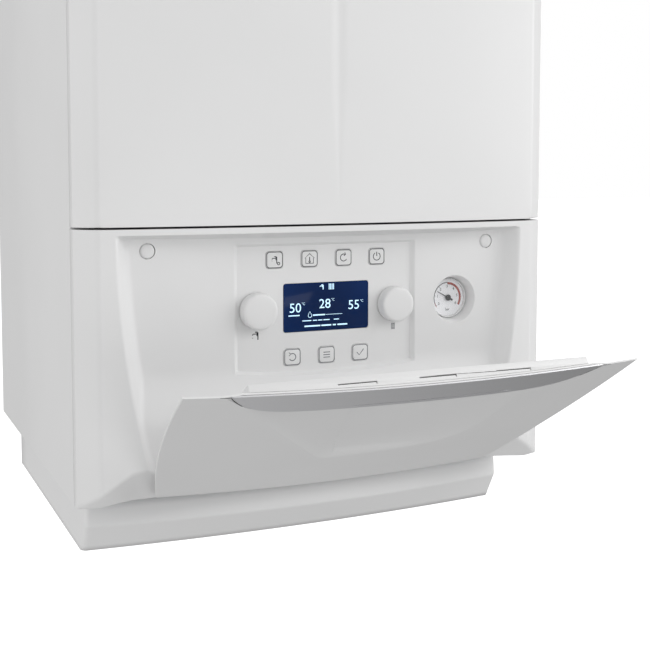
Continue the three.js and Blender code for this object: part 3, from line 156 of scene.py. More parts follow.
print("sky from below, above and low on the right:", SKY_BELOW, SKY_ABOVE, SKY_RIGHT)

# %% Floor
FLOOR_Z = -1.1
floor_mesh = bpy.data.meshes.new("floor")
ground = bmesh.new()
bmesh.ops.create_grid(ground, x_segments=1, y_segments=1, size=40)
bmesh.ops.translate(ground, vec=(0, 0, FLOOR_Z), verts=ground.verts)
ground.to_mesh(floor_mesh)
ground.free()
floor = bpy.data.objects.new("floor", floor_mesh)
scene.collection.objects.link(floor)
floor_paint = bpy.data.materials.new("pale_floor")
floor_paint.use_nodes = True
coat = floor_paint.node_tree.nodes["Principled BSDF"].inputs
coat["Base Color"].default_value = linear(0xF2F2F2)
coat["Roughness"].default_value = 0.9
coat["Emission Color"].default_value = (1, 1, 1, 1)
coat["Emission Strength"].default_value = 0.8
floor_mesh.materials.append(floor_paint)
floor.visible_diffuse = False  # the sky below lights the undersides instead
floor.visible_glossy = False
print("floor at z", FLOOR_Z)

# %% Softboxes
softboxes = [
    # name, place, aimed at, side lengths, watts
    ("key_softbox", (2.0, -1.35, 0.9), (0, -0.4, 0.3), (1.2, 1.6), 20),
    ("high_softbox", (1.0, -2.5, 1.5), (0, -0.4, 0.1), (1.2, 1.0), 7),
    ("low_softbox", (0.4, -2.8, -0.3), (0, -0.4, 0.1), (1.0, 1.0), 6),
    ("left_softbox", (-2.2, -0.6, 0.5), (-0.2, -0.2, 0.2), (1.0, 1.6), 9),
]
for name, place, target, (wide, high), watts in softboxes:
    light = bpy.data.lights.new(name, "AREA")
    light.shape = "RECTANGLE"
    light.size, light.size_y, light.energy = wide, high, watts
    lamp = bpy.data.objects.new(name, light)
    lamp.location = place
    lamp.rotation_euler = (Vector(target) - Vector(place)).to_track_quat("-Z", "Y").to_euler()
    scene.collection.objects.link(lamp)
print("softboxes:", len(softboxes))

# %% [markdown]
# ## Finishes
# Every finish starts from what it is: the steel sheets are powder coated, which leaves a faint
# orange peel a millimetre or two across; the panel, flap and knobs are injection-moulded ABS with
# a fine spark-eroded grain. Grain finer than about a pixel is drawn as coarse as it needs to show.

# %% A material to start from
def start(name, colour, **sockets):
    """A new material with a Principled shader, its set sockets, and the object's coordinates."""
    made = bpy.data.materials.new(name)
    made.use_nodes = True
    tree = made.node_tree
    tree.nodes.clear()
    values = {key.replace("_", " "): value for key, value in sockets.items()}
    shader = add(tree, "ShaderNodeBsdfPrincipled", {"Base Color": linear(colour), **values})
    add(tree, "ShaderNodeOutputMaterial", {"Surface": shader.outputs[0]})
    where = add(tree, "ShaderNodeTexCoord").outputs["Object"]
    return made, tree, shader, where


def cloud(tree, where, size_mm, detail=2.0, **inputs):
    """Noise with blotches of about size_mm."""
    values = {"Vector": where, "Scale": per_metre(size_mm), "Detail": detail, **inputs}
    return add(tree, "ShaderNodeTexNoise", values).outputs["Fac"]


def relief(tree, shader, height, depth_mm, strength=0.5):
    """Lets a height pattern dent the surface by depth_mm."""
    values = {"Height": height, "Distance": depth_mm * MM, "Strength": strength}
    bump = add(tree, "ShaderNodeBump", values)
    tree.links.new(bump.outputs[0], shader.inputs["Normal"])


def vary(tree, socket, factor, low, high):
    """Drives a shader socket between two colours, or two numbers, by a 0 to 1 pattern."""
    if isinstance(low, int):
        ends = {0: factor, 6: linear(low), 7: linear(high)}
        stops = add(tree, "ShaderNodeMix", ends, data_type="RGBA")
        tree.links.new(stops.outputs[2], socket)
        return
    between = add(tree, "ShaderNodeMapRange", {"Value": factor, "To Min": low, "To Max": high})
    tree.links.new(between.outputs[0], socket)


# %% Coated and moulded finishes
def coated(name, colour, shade, rough, grain_mm, depth_mm, **sockets):
    """Paint or plastic: one colour that drifts a little, a gloss that drifts a little, a grain."""
    made, tree, shader, where = start(name, colour, **sockets)
    drift = cloud(tree, where, 90, 1.0)
    vary(tree, shader.inputs["Base Color"], drift, shade, colour)
    vary(tree, shader.inputs["Roughness"], drift, rough - 0.04, rough + 0.04)
    relief(tree, shader, cloud(tree, where, grain_mm), depth_mm)
    return made


FINISH = {
    # powder coat over steel: IOR 1.5, satin, orange peel about 1.6 mm across and 0.02 mm deep
    "white_steel": coated("powder_coated_steel", 0xEAEAEA, 0xE6E6E6, 0.38, 1.6, 0.02, IOR=1.5),
    # injection-moulded ABS: IOR 1.54, spark-eroded grain of 0.3 mm, drawn at 0.8 mm
    "white_plastic": coated("moulded_white_abs", 0xE9E9E9, 0xE5E5E5, 0.46, 0.8, 0.015, IOR=1.54),
    "dark_plastic": coated("moulded_dark_abs", 0x2A2C2F, 0x222427, 0.55, 0.8, 0.03, IOR=1.54),
    "black_plastic": coated("moulded_black_pa", 0x1C1D1F, 0x161718, 0.48, 0.8, 0.03, IOR=1.53),
    # polypropylene pipework and impeller: waxy, IOR 1.49
    "grey_plastic": coated("grey_polypropylene", 0x74787C, 0x6A6E72, 0.5, 1.2, 0.03, IOR=1.49),
    "blue_plastic": coated("blue_polyamide", 0x27509A, 0x224788, 0.45, 0.8, 0.03, IOR=1.53),
    # the vessel's red stove enamel, sprayed: IOR 1.52, coarse orange peel
    "red_paint": coated("red_stove_enamel", 0xA8322C, 0x982B26, 0.33, 2.2, 0.05, IOR=1.52),
    # steatite electrode body: IOR 1.6, glazed
    "ceramic": coated("glazed_steatite", 0xE9E4D8, 0xE0DACB, 0.22, 1.5, 0.02, IOR=1.6),
}
# the gauge's dial plate: gloss white enamel on sheet, IOR 1.52; its white is set above the panel's
# partly as painted light that offsets the shade in the gauge's well
FINISH["dial_white_with_painted_light"] = coated("white_dial_enamel_with_painted_light", 0xFBFBFD, 0xF8F8FB, 0.3, 1.0, 0.01, IOR=1.52)
print("coated finishes:", len(FINISH))

# %% [markdown]
# ## Metals
# The inner parts are bare metal, and each keeps the marks of how it was made: zinc crystals on
# the galvanised frame, a rolled grain on stainless sheet, the sandy skin of die-cast aluminium,
# and drawn copper tube that has begun to tarnish in blotches.

# %% Bare metals
def metal(name, colour, shade, rough, spread, pattern, depth_mm):
    """A bare metal whose colour and roughness follow the marks that its making left."""
    made, tree, shader, where = start(name, colour, Metallic=1.0)
    marks = pattern(tree, where)
    vary(tree, shader.inputs["Base Color"], marks, shade, colour)
    vary(tree, shader.inputs["Roughness"], marks, rough + spread, rough - spread)
    relief(tree, shader, marks, depth_mm, 0.3)
    return made


def spangle(tree, where):
    """Zinc crystals, about 9 mm across."""
    cells = add(tree, "ShaderNodeTexVoronoi", {"Vector": where, "Scale": per_metre(9)})
    return add(tree, "ShaderNodeSeparateColor", {"Color": cells.outputs["Color"]}).outputs[0]


def rolled(tree, where):
    """Rolling lines 0.7 mm apart that run 60 mm along x."""
    line = add(tree, "ShaderNodeMapping", {"Vector": where, "Scale": (0.7 / 60, 1, 1)})
    return cloud(tree, line.outputs[0], 0.7)


def sand_cast(tree, where):
    return cloud(tree, where, 1.5, 4.0)


def tarnish(tree, where):
    return cloud(tree, where, 25, 5.0)


FINISH.update(
    galvanised=metal("galvanised_sheet", 0xB3B8BC, 0x8F959A, 0.42, 0.08, spangle, 0.01),
    stainless=metal("rolled_stainless", 0xC4C7C9, 0xA9ADB0, 0.3, 0.06, rolled, 0.01),
    cast_aluminium=metal("die_cast_aluminium", 0xB4B6B8, 0x94979A, 0.5, 0.08, sand_cast, 0.08),
    brass=metal("forged_brass", 0xC9A45A, 0x9B7A3C, 0.36, 0.08, tarnish, 0.03),
    copper=metal("drawn_copper", 0xC98262, 0x8E5238, 0.32, 0.1, tarnish, 0.01),
)
print("finishes so far:", sorted(FINISH))

# %% [markdown]
# ## Trim, display and lens
# The silver strip on the flap is ABS sprayed with a fine metallic lacquer. The display is a
# tinted acrylic window over a lit blue liquid-crystal panel, so it glows a little from inside.
# The gauge's window is clear acrylic.

# %% Lacquer, window and lens
silver, tree, shader, where = start("silver_lacquer", 0xD8D8DA, IOR=1.5, Metallic=0.75)
flake = cloud(tree, where, 0.6)  # flakes are 0.05 mm; drawn at 0.6 mm so that they show
vary(tree, shader.inputs["Base Color"], flake, 0xD0D0D2, 0xE0E0E2)
vary(tree, shader.inputs["Roughness"], flake, 0.3, 0.4)
relief(tree, shader, flake, 0.01, 0.3)
FINISH["silver_trim"] = silver

window, tree, shader, where = start(
    "tinted_acrylic_display", 0x081C40, IOR=1.49, Roughness=0.09, Specular_IOR_Level=0.14
)
backlight = cloud(tree, where, 60, 0.0)
vary(tree, shader.inputs["Base Color"], backlight, 0x061734, 0x0A2450)
vary(tree, shader.inputs["Emission Color"], backlight, 0x0A2048, 0x0E2C60)
shader.inputs["Emission Strength"].default_value = 0.3
FINISH["navy_display"] = window

clear, tree, shader, where = start("clear_acrylic", 0xF6FAFB, IOR=1.49, Alpha=0.05)
wiped = cloud(tree, where, 18, 1.0)
vary(tree, shader.inputs["Roughness"], wiped, 0.02, 0.06)
FINISH["clear_lens"] = clear

board, tree, shader, where = start("solder_masked_board", 0x1C6B42, IOR=1.55, Roughness=0.3)
tracks = add(
    tree,
    "ShaderNodeTexBrick",
    {
        "Vector": where,
        "Color1": linear(0x1C6B42),
        "Color2": linear(0x1A623C),
        "Mortar": linear(0x2F8A5B),
        "Scale": per_metre(10),
        "Mortar Size": 0.06,
        "Brick Width": 0.9,
        "Row Height": 0.35,
    },
)
tree.links.new(tracks.outputs["Color"], shader.inputs["Base Color"])
relief(tree, shader, tracks.outputs["Fac"], 0.05)
FINISH["circuit_board"] = board

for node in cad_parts.values():
    slot_name = next((s.material.name for s in node.material_slots if s.material), "")
    base = slot_name.split(".")[0]
    if base in FINISH:
        for s in node.material_slots:
            s.material = FINISH[base]
    else:
        print("no finish for", node.name, slot_name)
print("dressed CAD nodes:", len(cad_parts))

# %% [markdown]
# ## How the shells are modelled
# The front cover, the control panel and the flap are all thin shells whose surface bends gently
# and whose edges are soft. We could cut them from solids, but every cut leaves a hard edge. So
# each one starts as a flat grid whose rows and columns are led along the piece's own lines, such
# as the rim of a recess, and every point is then moved to its depth. Two soft limits, a rounded
# smaller and a rounded larger, stand for the fillets that the mould or press leaves.

# %% Soft limits and led grids
def soft_min(a, b, reach):
    """The smaller of two depths, with the corner between them rounded over about reach mm."""
    near = max(reach - abs(a - b), 0) / reach
    return min(a, b) - near * near * reach / 4


def soft_max(a, b, reach):
    return -soft_min(-a, -b, reach)


def at(value):
    return lambda other: value


def spread(keys, counts):
    """Lines between key lines, with counts steps in each gap."""
    made = []
    for first, last, count in zip(keys, keys[1:], counts):
        for i in range(count):
            made.append(lambda t, a=first, b=last, s=i / count: a(t) * (1 - s) + b(t) * s)
    return [*made, keys[-1]]


def led_sheet(columns, rows, depth):
    """A grid whose columns give x at a height, whose rows give z at a width, moved to its depth."""
    sheet = bmesh.new()
    across, up = len(columns) - 1, len(rows) - 1
    bmesh.ops.create_grid(sheet, x_segments=across, y_segments=up, size=0.5)
    for vert in sheet.verts:
        column = columns[round((vert.co.x + 0.5) * across)]
        row = rows[round((vert.co.y + 0.5) * up)]
        x, z = 0, 100
        for _ in range(8):
            x = column(z)
            z = row(x)
        vert.co = Vector((x, depth(x, z), z)) * MM
    return sheet


def rim(shell):
    """The open edges of a shell."""
    return [edge for edge in shell.edges if edge.is_boundary]


def fold_back(shell, edges, y_mm):
    """Turns open edges back to the plane y, as a flange."""
    grown = bmesh.ops.extrude_edge_only(shell, edges=edges)["geom"]
    for vert in (g for g in grown if isinstance(g, bmesh.types.BMVert)):
        vert.co.y = y_mm * MM


def round_edges(shell, test, width_mm, segments=3):
    """Rounds the edges that a test picks."""
    picked = [edge for edge in shell.edges if test(edge)]
    bmesh.ops.bevel(
        shell,
        geom=picked,
        offset=width_mm * MM,
        offset_type="OFFSET",
        segments=segments,
        profile=0.5,
        affect="EDGES",
        clamp_overlap=True,
        material=-1,
    )


def sharp(edge, degrees=50):
    return len(edge.link_faces) == 2 and edge.calc_face_angle(0) > math.radians(degrees)


def finish_piece(shell, name, body, finish, *replaced, crease=40, wall=0.0):
    """Turns a bmesh into a finished piece on its body, with its material and shading.
    A wall gives a sheet its thickness, behind the side that faces front."""
    bmesh.ops.recalc_face_normals(shell, faces=shell.faces)
    if wall and sum(face.normal.y * face.calc_area() for face in shell.faces) > 0:
        bmesh.ops.reverse_faces(shell, faces=shell.faces)
    mesh = bpy.data.meshes.new(name)
    shell.to_mesh(mesh)
    shell.free()
    mesh.materials.append(FINISH[finish])
    mesh.shade_smooth()
    mesh.set_sharp_from_angle(angle=math.radians(crease))
    piece = bpy.data.objects.new(name, mesh)
    scene.collection.objects.link(piece)
    if wall:
        thick = piece.modifiers.new("wall", "SOLIDIFY")
        thick.thickness, thick.offset = wall * MM, -1
    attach(piece, body)
    if replaced:
        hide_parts(*replaced)
    print(f"{name}: {len(mesh.polygons)} faces on {body}")
    return piece


# %% [markdown]
# ## Front cover
# One sheet of steel, bent at its two front corners over a chamfer and bowed 12 mm between them.
# A shallow crease runs down its middle and fades out above the control panel. Columns close to
# the middle follow the taper of that crease.

# %% Plan of the front
HALF = 220
FLAT = 203  # half of the bowed part, between the chamfers
CORNER_Y, CHAMFER_DEPTH, BOW = -406, 14, 12
RETURN_Y = -394


def bow_y(x):
    return CORNER_Y - CHAMFER_DEPTH - BOW * (1 - (x / FLAT) ** 2)


def front_y(x):
    """Depth of the bowed front and its corner chamfers."""
    chamfer = CORNER_Y - CHAMFER_DEPTH * (HALF - abs(x)) / (HALF - FLAT)
    return soft_max(bow_y(x), chamfer, 1.6)


COVER_LOW, COVER_TOP = 231, 850
CREASE_HALF, CREASE_DEPTH, CREASE_FADE, CREASE_FULL = 7, 1.1, 246, 345


def crease_share(z):
    return min(max((z - CREASE_FADE) / (CREASE_FULL - CREASE_FADE), 0), 1)


def cover_y(x, z):
    half = max(CREASE_HALF * crease_share(z), 0.4)
    inside = max(1 - abs(x) / half, 0)
    return front_y(x) + CREASE_DEPTH * crease_share(z) * min(inside * 1.15, 1)


def crease_line(share):
    return lambda z: share * max(CREASE_HALF * crease_share(z), 0.4)


# %% The pressed sheet
left = [at(-HALF), at(-HALF + 1), at(-FLAT - 3), at(-FLAT + 3), at(-14)]
crease = [crease_line(s) for s in (-1, -0.13, 0, 0.13, 1)]
right = [at(14), at(FLAT - 3), at(FLAT + 3), at(HALF - 1), at(HALF)]
columns = spread(left + crease + right, [1, 3, 6, 24, 3, 2, 1, 1, 2, 3, 24, 6, 3, 1])
rows = spread([at(COVER_LOW), at(CREASE_FADE), at(CREASE_FULL), at(COVER_TOP)], [2, 10, 12])
cover = led_sheet(columns, rows, cover_y)
fold_back(cover, rim(cover), RETURN_Y)
round_edges(cover, lambda e: sharp(e) and min(v.co.y for v in e.verts) < -0.4055, 1.6)
finish_piece(cover, "pressed_front_cover", "casing", "white_steel", "front_cover", wall=1.2)

# %% [markdown]
# ## Control panel
# The moulded panel carries the control plate, the gauge and the flap. Its recess is a shield: the
# rim leans outward as it rises, the walls slope in to a flat floor, and near the bottom the floor
# sweeps forward into a ledge. Below, the front is cut back at a slant. All of these are depths
# at a point of the front, so one grid makes the whole face, and its columns lean with the rim.

# %% Depth of the panel at a point
RECESS_TOP, FLOOR_Y, LEDGE_Y = 224, -408, -421
LEDGE_LOW, LEDGE_HIGH = 64, 112
PANEL_LOW, PANEL_TOP = 4.5, 229.2
PLATE_HALF, PLATE_TOP, PLATE_LOW, PLATE_SAG, PLATE_Y = 82, 211.5, 108, 5, -405
SIDE_SLOPE, TOP_SLOPE = 1.25, 5.2
BEVEL_Y, BEVEL_SLOPE, BEVEL_HALF, BEVEL_CORNER = -400, 1.25, 176, 5


def recess_half(z):
    """Half-width of the shield-shaped recess at a height."""
    share = min(max(z / RECESS_TOP, 0), 1)
    return 156 + 32.5 * (1 - (1 - share) ** 1.9)


def floor_y(z):
    """The floor, with its sweep forward into the ledge."""
    share = min(max((z - LEDGE_LOW) / (LEDGE_HIGH - LEDGE_LOW), 0), 1)
    return LEDGE_Y + (FLOOR_Y - LEDGE_Y) * (1 - math.cos(math.pi * share)) / 2


def plate_low(x, grow=0.0):
    half = PLATE_HALF + grow
    return PLATE_LOW - grow - PLATE_SAG * max(1 - (x / half) ** 2, 0)


def bevel_top(x):
    """Height of the edge between the front and its slanted underside, which falls at the corners."""
    inner = min(abs(x), BEVEL_HALF)
    top = PANEL_LOW + (BEVEL_Y - front_y(inner)) * BEVEL_SLOPE
    return top + (BEVEL_CORNER - top) * (abs(x) - inner) / (HALF - BEVEL_HALF)


def panel_y(x, z):
    rim_x = recess_half(z)
    front = front_y(x)
    side_wall = front_y(rim_x) + (rim_x - abs(x)) * SIDE_SLOPE
    top_wall = front + (RECESS_TOP - z) * TOP_SLOPE
    wall = soft_min(side_wall, top_wall, 9)
    inner = soft_min(wall, floor_y(z), 5)
    face = soft_max(front, inner, 2.4)
    across = PLATE_HALF + 4 - abs(x)
    along = min(PLATE_TOP + 2.2 - z, z - plate_low(x, 2.2) + 1.4)
    if across > 0 and along > 0:
        sunk = FLOOR_Y + min(across / 3.6, along / 1.8) * (PLATE_Y - FLOOR_Y)
        face = max(face, min(sunk, PLATE_Y + 0.05))
    undercut = front + (bevel_top(x) - z) / BEVEL_SLOPE
    return soft_max(face, undercut, 2.0)


# %% The panel's face
def rim_line(side, inward):
    return lambda z: side * (recess_half(z) - inward)


def slant_line(offset):
    """Where the slanted underside meets the face, give or take offset."""
    def line(x):
        meets = bevel_top(x) - BEVEL_SLOPE * (panel_y(x, 48) - front_y(x))
        return max(meets, PANEL_LOW + 4) + offset

    return line


PLATE_EDGE = PLATE_HALF + 4
left = [at(-HALF), at(-FLAT - 3), at(-FLAT + 3), rim_line(-1, -3), rim_line(-1, 2), rim_line(-1, 16)]
left += [at(-PLATE_EDGE - 1), at(-PLATE_EDGE + 4.6), at(-PLATE_EDGE + 8)]
right = [lambda z, f=line: -f(z) for line in reversed(left)]
steps = [3, 6, 3, 8, 12, 16, 6, 2]
columns = spread(left + right, steps + [34] + steps[::-1])
rows = spread(
    [at(PANEL_LOW), slant_line(-3), slant_line(3), at(62), lambda x: plate_low(x, 2.2) - 3]
    + [lambda x: plate_low(x, 0) + 1.5, lambda x: plate_low(x, 0) + 5]
    + [at(PLATE_TOP - 3), at(PLATE_TOP + 3), at(RECESS_TOP - 1.5), at(RECESS_TOP + 2), at(PANEL_TOP)],
    [6, 6, 6, 14, 6, 2, 34, 6, 10, 6, 4],
)
panel = led_sheet(columns, rows, panel_y)
outer_rim = rim(panel)
print("panel face:", len(panel.faces), "faces")


# %% Round holes in the panel
def round_hole(shell, x, z, radius, margin):
    """Opens a round hole in a flat part of a front grid and returns its edge loop."""
    def inside(face):
        middle = face.calc_center_median() / MM
        return abs(middle.x - x) < radius + margin and abs(middle.z - z) < radius + margin

    before = set(rim(shell))
    doomed = [face for face in shell.faces if inside(face)]
    bmesh.ops.delete(shell, geom=doomed, context="FACES")
    hole = [edge for edge in rim(shell) if edge not in before]
    grown = bmesh.ops.extrude_edge_only(shell, edges=hole)["geom"]
    for vert in (g for g in grown if isinstance(g, bmesh.types.BMVert)):
        away = Vector((vert.co.x - x * MM, 0, vert.co.z - z * MM)).normalized() * radius * MM
        vert.co = Vector((x * MM, vert.co.y, z * MM)) + away
    return [g for g in grown if isinstance(g, bmesh.types.BMEdge)]


def sink(shell, loop, depth_mm, scale=1.0):
    """Pulls a loop back by a depth and returns the new loop."""
    grown = bmesh.ops.extrude_edge_only(shell, edges=loop)["geom"]
    verts = [g for g in grown if isinstance(g, bmesh.types.BMVert)]
    middle = sum((v.co for v in verts), Vector()) / len(verts)
    for vert in verts:
        vert.co = middle + (vert.co - middle) * scale + Vector((0, depth_mm * MM, 0))
    return [g for g in grown if isinstance(g, bmesh.types.BMEdge)]


GAUGE_X, GAUGE_Z, GAUGE_HOLE = 127.4, 158, 22
SCREW_X, SCREW_Z, SCREW_R = 160.4, 210.5, 6.3
HINGE_Y, HINGE_Z, EAR_X, EYE_X, EAR_THICK = -420, 20, 148.25, 153.25, 4.5

well = round_hole(panel, GAUGE_X, GAUGE_Z, GAUGE_HOLE, 3)
well = sink(panel, well, 0.6, 0.975)
well = sink(panel, well, 10.4, 18.6 / 21.45)
sink(panel, well, 4)
for side in (-1, 1):
    screw_well = round_hole(panel, side * SCREW_X, SCREW_Z, SCREW_R + 0.35, 1)
    sink(panel, screw_well, 3)
inner_faces = [
    face
    for face in panel.faces
    if all(abs(v.co.x) < (PLATE_EDGE - 7.9) * MM for v in face.verts)
    and all(plate_low(v.co.x / MM) + 1.2 < v.co.z / MM < PLATE_TOP - 2.9 for v in face.verts)
]
bmesh.ops.delete(panel, geom=inner_faces, context="FACES")
fold_back(panel, [edge for edge in outer_rim if edge.is_valid], RETURN_Y)


def outermost(edge):
    """Picks the sharp edges along the panel's upper, lower and side borders."""
    xs, ys, zs = zip(*(vert.co / MM for vert in edge.verts))
    at_border = max(zs) > PANEL_TOP - 0.7 or min(zs) < 5 or min(map(abs, xs)) > HALF - 0.5
    return at_border and min(ys) > -432.5 and sharp(edge, 55)


round_edges(panel, outermost, 0.9)
finish_piece(panel, "moulded_panel", "dashboard", "white_plastic", "panel_fascia", wall=1.8)


def hinge_lobes(x, radius, steps, web_size, web_place):
    """A disc round the hinge axis and a web beside it, at x on either side."""
    lobes = bmesh.new()
    for side in (-1, 1):
        place = Matrix.Translation((side * x * MM, HINGE_Y * MM, HINGE_Z * MM))
        bmesh.ops.create_cone(
            lobes,
            cap_ends=True,
            segments=steps,
            radius1=radius * MM,
            radius2=radius * MM,
            depth=EAR_THICK * MM,
            matrix=place @ Matrix.Rotation(math.pi / 2, 4, "Y"),
        )
        size = Matrix.Diagonal((*(Vector(web_size) * MM), 1))
        web = Matrix.Translation(Vector(web_place) * MM) @ size
        bmesh.ops.create_cube(lobes, size=1, matrix=place @ web)
    round_edges(lobes, lambda e: sharp(e, 60), 0.4)
    return lobes


ears = hinge_lobes(EAR_X, 3.6, 32, (EAR_THICK, 6.8, 22), (0, 0.6, 11))
finish_piece(ears, "panel_hinge_ears", "dashboard", "white_plastic")

# %% [markdown]
# ## Pieces that keep the frame's own shape
# Some CAD pieces are already the right shape and only lack soft edges. A frame node is loose
# triangles, so we work on a copy: join its points, dissolve the triangles back into flat faces,
# and round the edges that turn sharply.

# %% A rounded copy of a frame node
def rounded_copy(node, name, body, finish, width_mm, test=None, segments=2, crease=35):
    copy = bmesh.new()
    copy.from_mesh(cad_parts[node].data)
    bmesh.ops.remove_doubles(copy, verts=copy.verts, dist=0.005 * MM)
    bmesh.ops.dissolve_limit(copy, angle_limit=math.radians(0.6), verts=copy.verts, edges=copy.edges)
    if width_mm:
        round_edges(copy, test or (lambda edge: sharp(edge, 40)), width_mm, segments)
    return finish_piece(copy, name, body, finish, node, crease=crease)


for side in ("left", "right"):
    rounded_copy(f"{side}_side_panel", f"folded_{side}_side", "casing", "white_steel", 0.8)
rounded_copy("top_panel", "folded_top", "casing", "white_steel", 0.5)
rounded_copy("control_plate", "membrane_plate", "dashboard", "white_plastic", 0.0)
BUTTONS = {
    # name: middle across, height, joint's body
    "hot_water_button": (-48.75, 199.6, "hot_water_button_body"),
    "room_temperature_button": (-16.25, 199.6, "room_temperature_button_body"),
    "mode_button": (16.25, 199.6, "mode_button_body"),
    "power_button": (48.75, 199.6, "power_button_body"),
    "reset_button": (-32.5, 114.8, "reset_button_body"),
    "menu_button": (0, 114.8, "menu_button_body"),
    "confirm_button": (32.5, 114.8, "confirm_button_body"),
}


def front_rim(depth_mm):
    """Picks the sharp edges that lie wholly at a depth."""
    return lambda edge: sharp(edge, 40) and all(abs(v.co.y - depth_mm * MM) < 1e-5 for v in edge.verts)


for node, (x, z, body) in BUTTONS.items():
    rounded_copy(node, f"{node}_key", body, "white_plastic", 0.15, front_rim(-405.7))
print("buttons:", len(BUTTONS))

# %% [markdown]
# ## Skirt
# Under the casing hangs a plastic skirt that hides the pipe ends. Its front is bowed like the
# panel's, comes to a ridge two fingers down and falls back under it. One grid runs round it, from
# the back of the left side to the back of the right side.

# %% The skirt's grid
SKIRT_HALF, SKIRT_BACK, SKIRT_CORNER, RIDGE_Y, RIDGE_Z = 205, -29, 6, -378, -26
SKIRT_LOW, SKIRT_TOP, UNDERCUT, SKIRT_LEAN, SKIRT_BOW = -51, -1.5, 20, 3, 17
SKIRT_EASE = 0.3  # share by which the fall back lessens at the corners


def skirt_front(x, z):
    """Depth of the bowed front, which falls back above and below its ridge."""
    below = (RIDGE_Z - z) * UNDERCUT / (RIDGE_Z - SKIRT_LOW)
    above = (z - RIDGE_Z) * SKIRT_LEAN / (SKIRT_TOP - RIDGE_Z)
    share = (x / SKIRT_HALF) ** 2
    return RIDGE_Y + SKIRT_BOW * share + soft_max(below, above, 1.2) * (1 - SKIRT_EASE * share)


def skirt_point(step, z):
    """Place on the skirt: step runs 0..1 along the left side, 1..2 round the corner, 2..3 across."""
    edge = SKIRT_HALF - SKIRT_CORNER
    front = skirt_front(edge, z)
    if step <= 1:
        return -SKIRT_HALF, SKIRT_BACK + (front + SKIRT_CORNER - SKIRT_BACK) * step
    if step <= 2:
        turn = (step - 1) * math.pi / 2
        bend = SKIRT_CORNER * Vector((-math.cos(turn), 1 - math.sin(turn)))
        return -edge + bend.x, front + bend.y
    x = -edge * (3 - step)
    return x, skirt_front(x, z)


half_steps = [i / 8 for i in range(8)] + [1 + i / 8 for i in range(8)] + [2 + i / 16 for i in range(17)]
stations = [(1, s) for s in half_steps] + [(-1, s) for s in reversed(half_steps[:-1])]
levels = [-51, -46, -41, -36, -31, -28.5, -27.3, -26.6, -26, -25.4, -24.7, -23.5, -20, -12, -1.5]
skirt = bmesh.new()
across, up = len(stations) - 1, len(levels) - 1
bmesh.ops.create_grid(skirt, x_segments=across, y_segments=up, size=0.5)
for vert in skirt.verts:
    side, step = stations[round((vert.co.x + 0.5) * across)]
    z = levels[round((vert.co.y + 0.5) * up)]
    x, y = skirt_point(step, z)
    vert.co = Vector((side * x, y, z)) * MM
finish_piece(skirt, "moulded_skirt", "casing", "white_plastic", "lower_cover", wall=2.4)

# %% [markdown]
# ## Turned pieces
# Knobs, screw caps, the gauge and its window are round, so each is a profile of radius and depth
# that spins once round its own axis, which points at the viewer.

# %% Spin a profile
def turned(profile, x, z, steps=72):
    """Spins a profile of (radius, depth) in mm round the axis through x and z."""
    shape = bmesh.new()
    verts = [shape.verts.new((r * MM, y * MM, 0)) for r, y in profile]
    edges = [shape.edges.new(pair) for pair in zip(verts, verts[1:])]
    bmesh.ops.spin(
        shape,
        geom=verts + edges,
        cent=(0, 0, 0),
        axis=(0, 1, 0),
        dvec=(0, 0, 0),
        angle=2 * math.pi,
        steps=steps,
        use_merge=True,
    )
    bmesh.ops.remove_doubles(shape, verts=shape.verts, dist=1e-6)
    bmesh.ops.translate(shape, vec=(x * MM, 0, z * MM), verts=shape.verts)
    return shape


KNOB_X, KNOB_Z = 65.3, 156.8
knob_profile = [
    (0, -417.2),
    (11, -417.15),
    (13.4, -417.0),
    (14.4, -416.7),
    (15.1, -416.1),
    (15.4, -415.3),
    (15.5, -414.4),
    (15.5, -405.8),
    (3.5, -405.8),
    (3.5, -390.3),
    (0, -390.3),
]
for node, side in (("hot_water_knob", -1), ("heating_knob", 1)):
    knob = turned(knob_profile, side * KNOB_X, KNOB_Z)
    finish_piece(knob, f"{node}_turned", f"{node}_body", "white_plastic", node, crease=50)

cap_profile = [(0, -409.4), (3, -409.25), (4.8, -408.8), (5.8, -408.1)]
cap_profile += [(SCREW_R, -407), (SCREW_R, -405.4), (0, -405.4)]
for node, side in (("left_screw_cap", -1), ("right_screw_cap", 1)):
    cap = turned(cap_profile, side * SCREW_X, SCREW_Z, 48)
    finish_piece(cap, f"domed_{node}", "dashboard", "white_plastic", node, crease=50)

# %% [markdown]
# ## Pressure gauge
# A small dial gauge sits at the bottom of a cone in the panel. Its dial is printed: a thin black
# arc up to 3 bar, a broad red arc from there to 6 bar, and small figures. A black needle with a
# domed hub reads about 1.5 bar.

# %% Dial, needle and window
dial_profile = [
    (0, -395.5),
    (16.9, -395.5),
    (17.1, -398.0),
    (17.5, -398.2),
    (18, -398.1),
    (18.2, -397.7),
    (18.2, -372),
    (0, -372),
]
dial = turned(dial_profile, GAUGE_X, GAUGE_Z)
finish_piece(dial, "gauge_case", "dashboard", "white_plastic", "gauge_body", crease=40)
DIAL_Y = -395.6
face = turned([(0, DIAL_Y), (16.8, DIAL_Y), (16.8, -395.5), (0, -395.5)], GAUGE_X, GAUGE_Z)
# the dial's white carries painted light against the shade in its well
finish_piece(face, "gauge_dial", "dashboard", "dial_white_with_painted_light", crease=40)

window_profile = [(0, -399.8), (12, -399.7), (16.6, -399.3), (18, -398.9), (18.2, -398.5), (0, -398.5)]
pane = turned(window_profile, GAUGE_X, GAUGE_Z)
finish_piece(pane, "gauge_window", "dashboard", "clear_lens", "gauge_lens", crease=40)

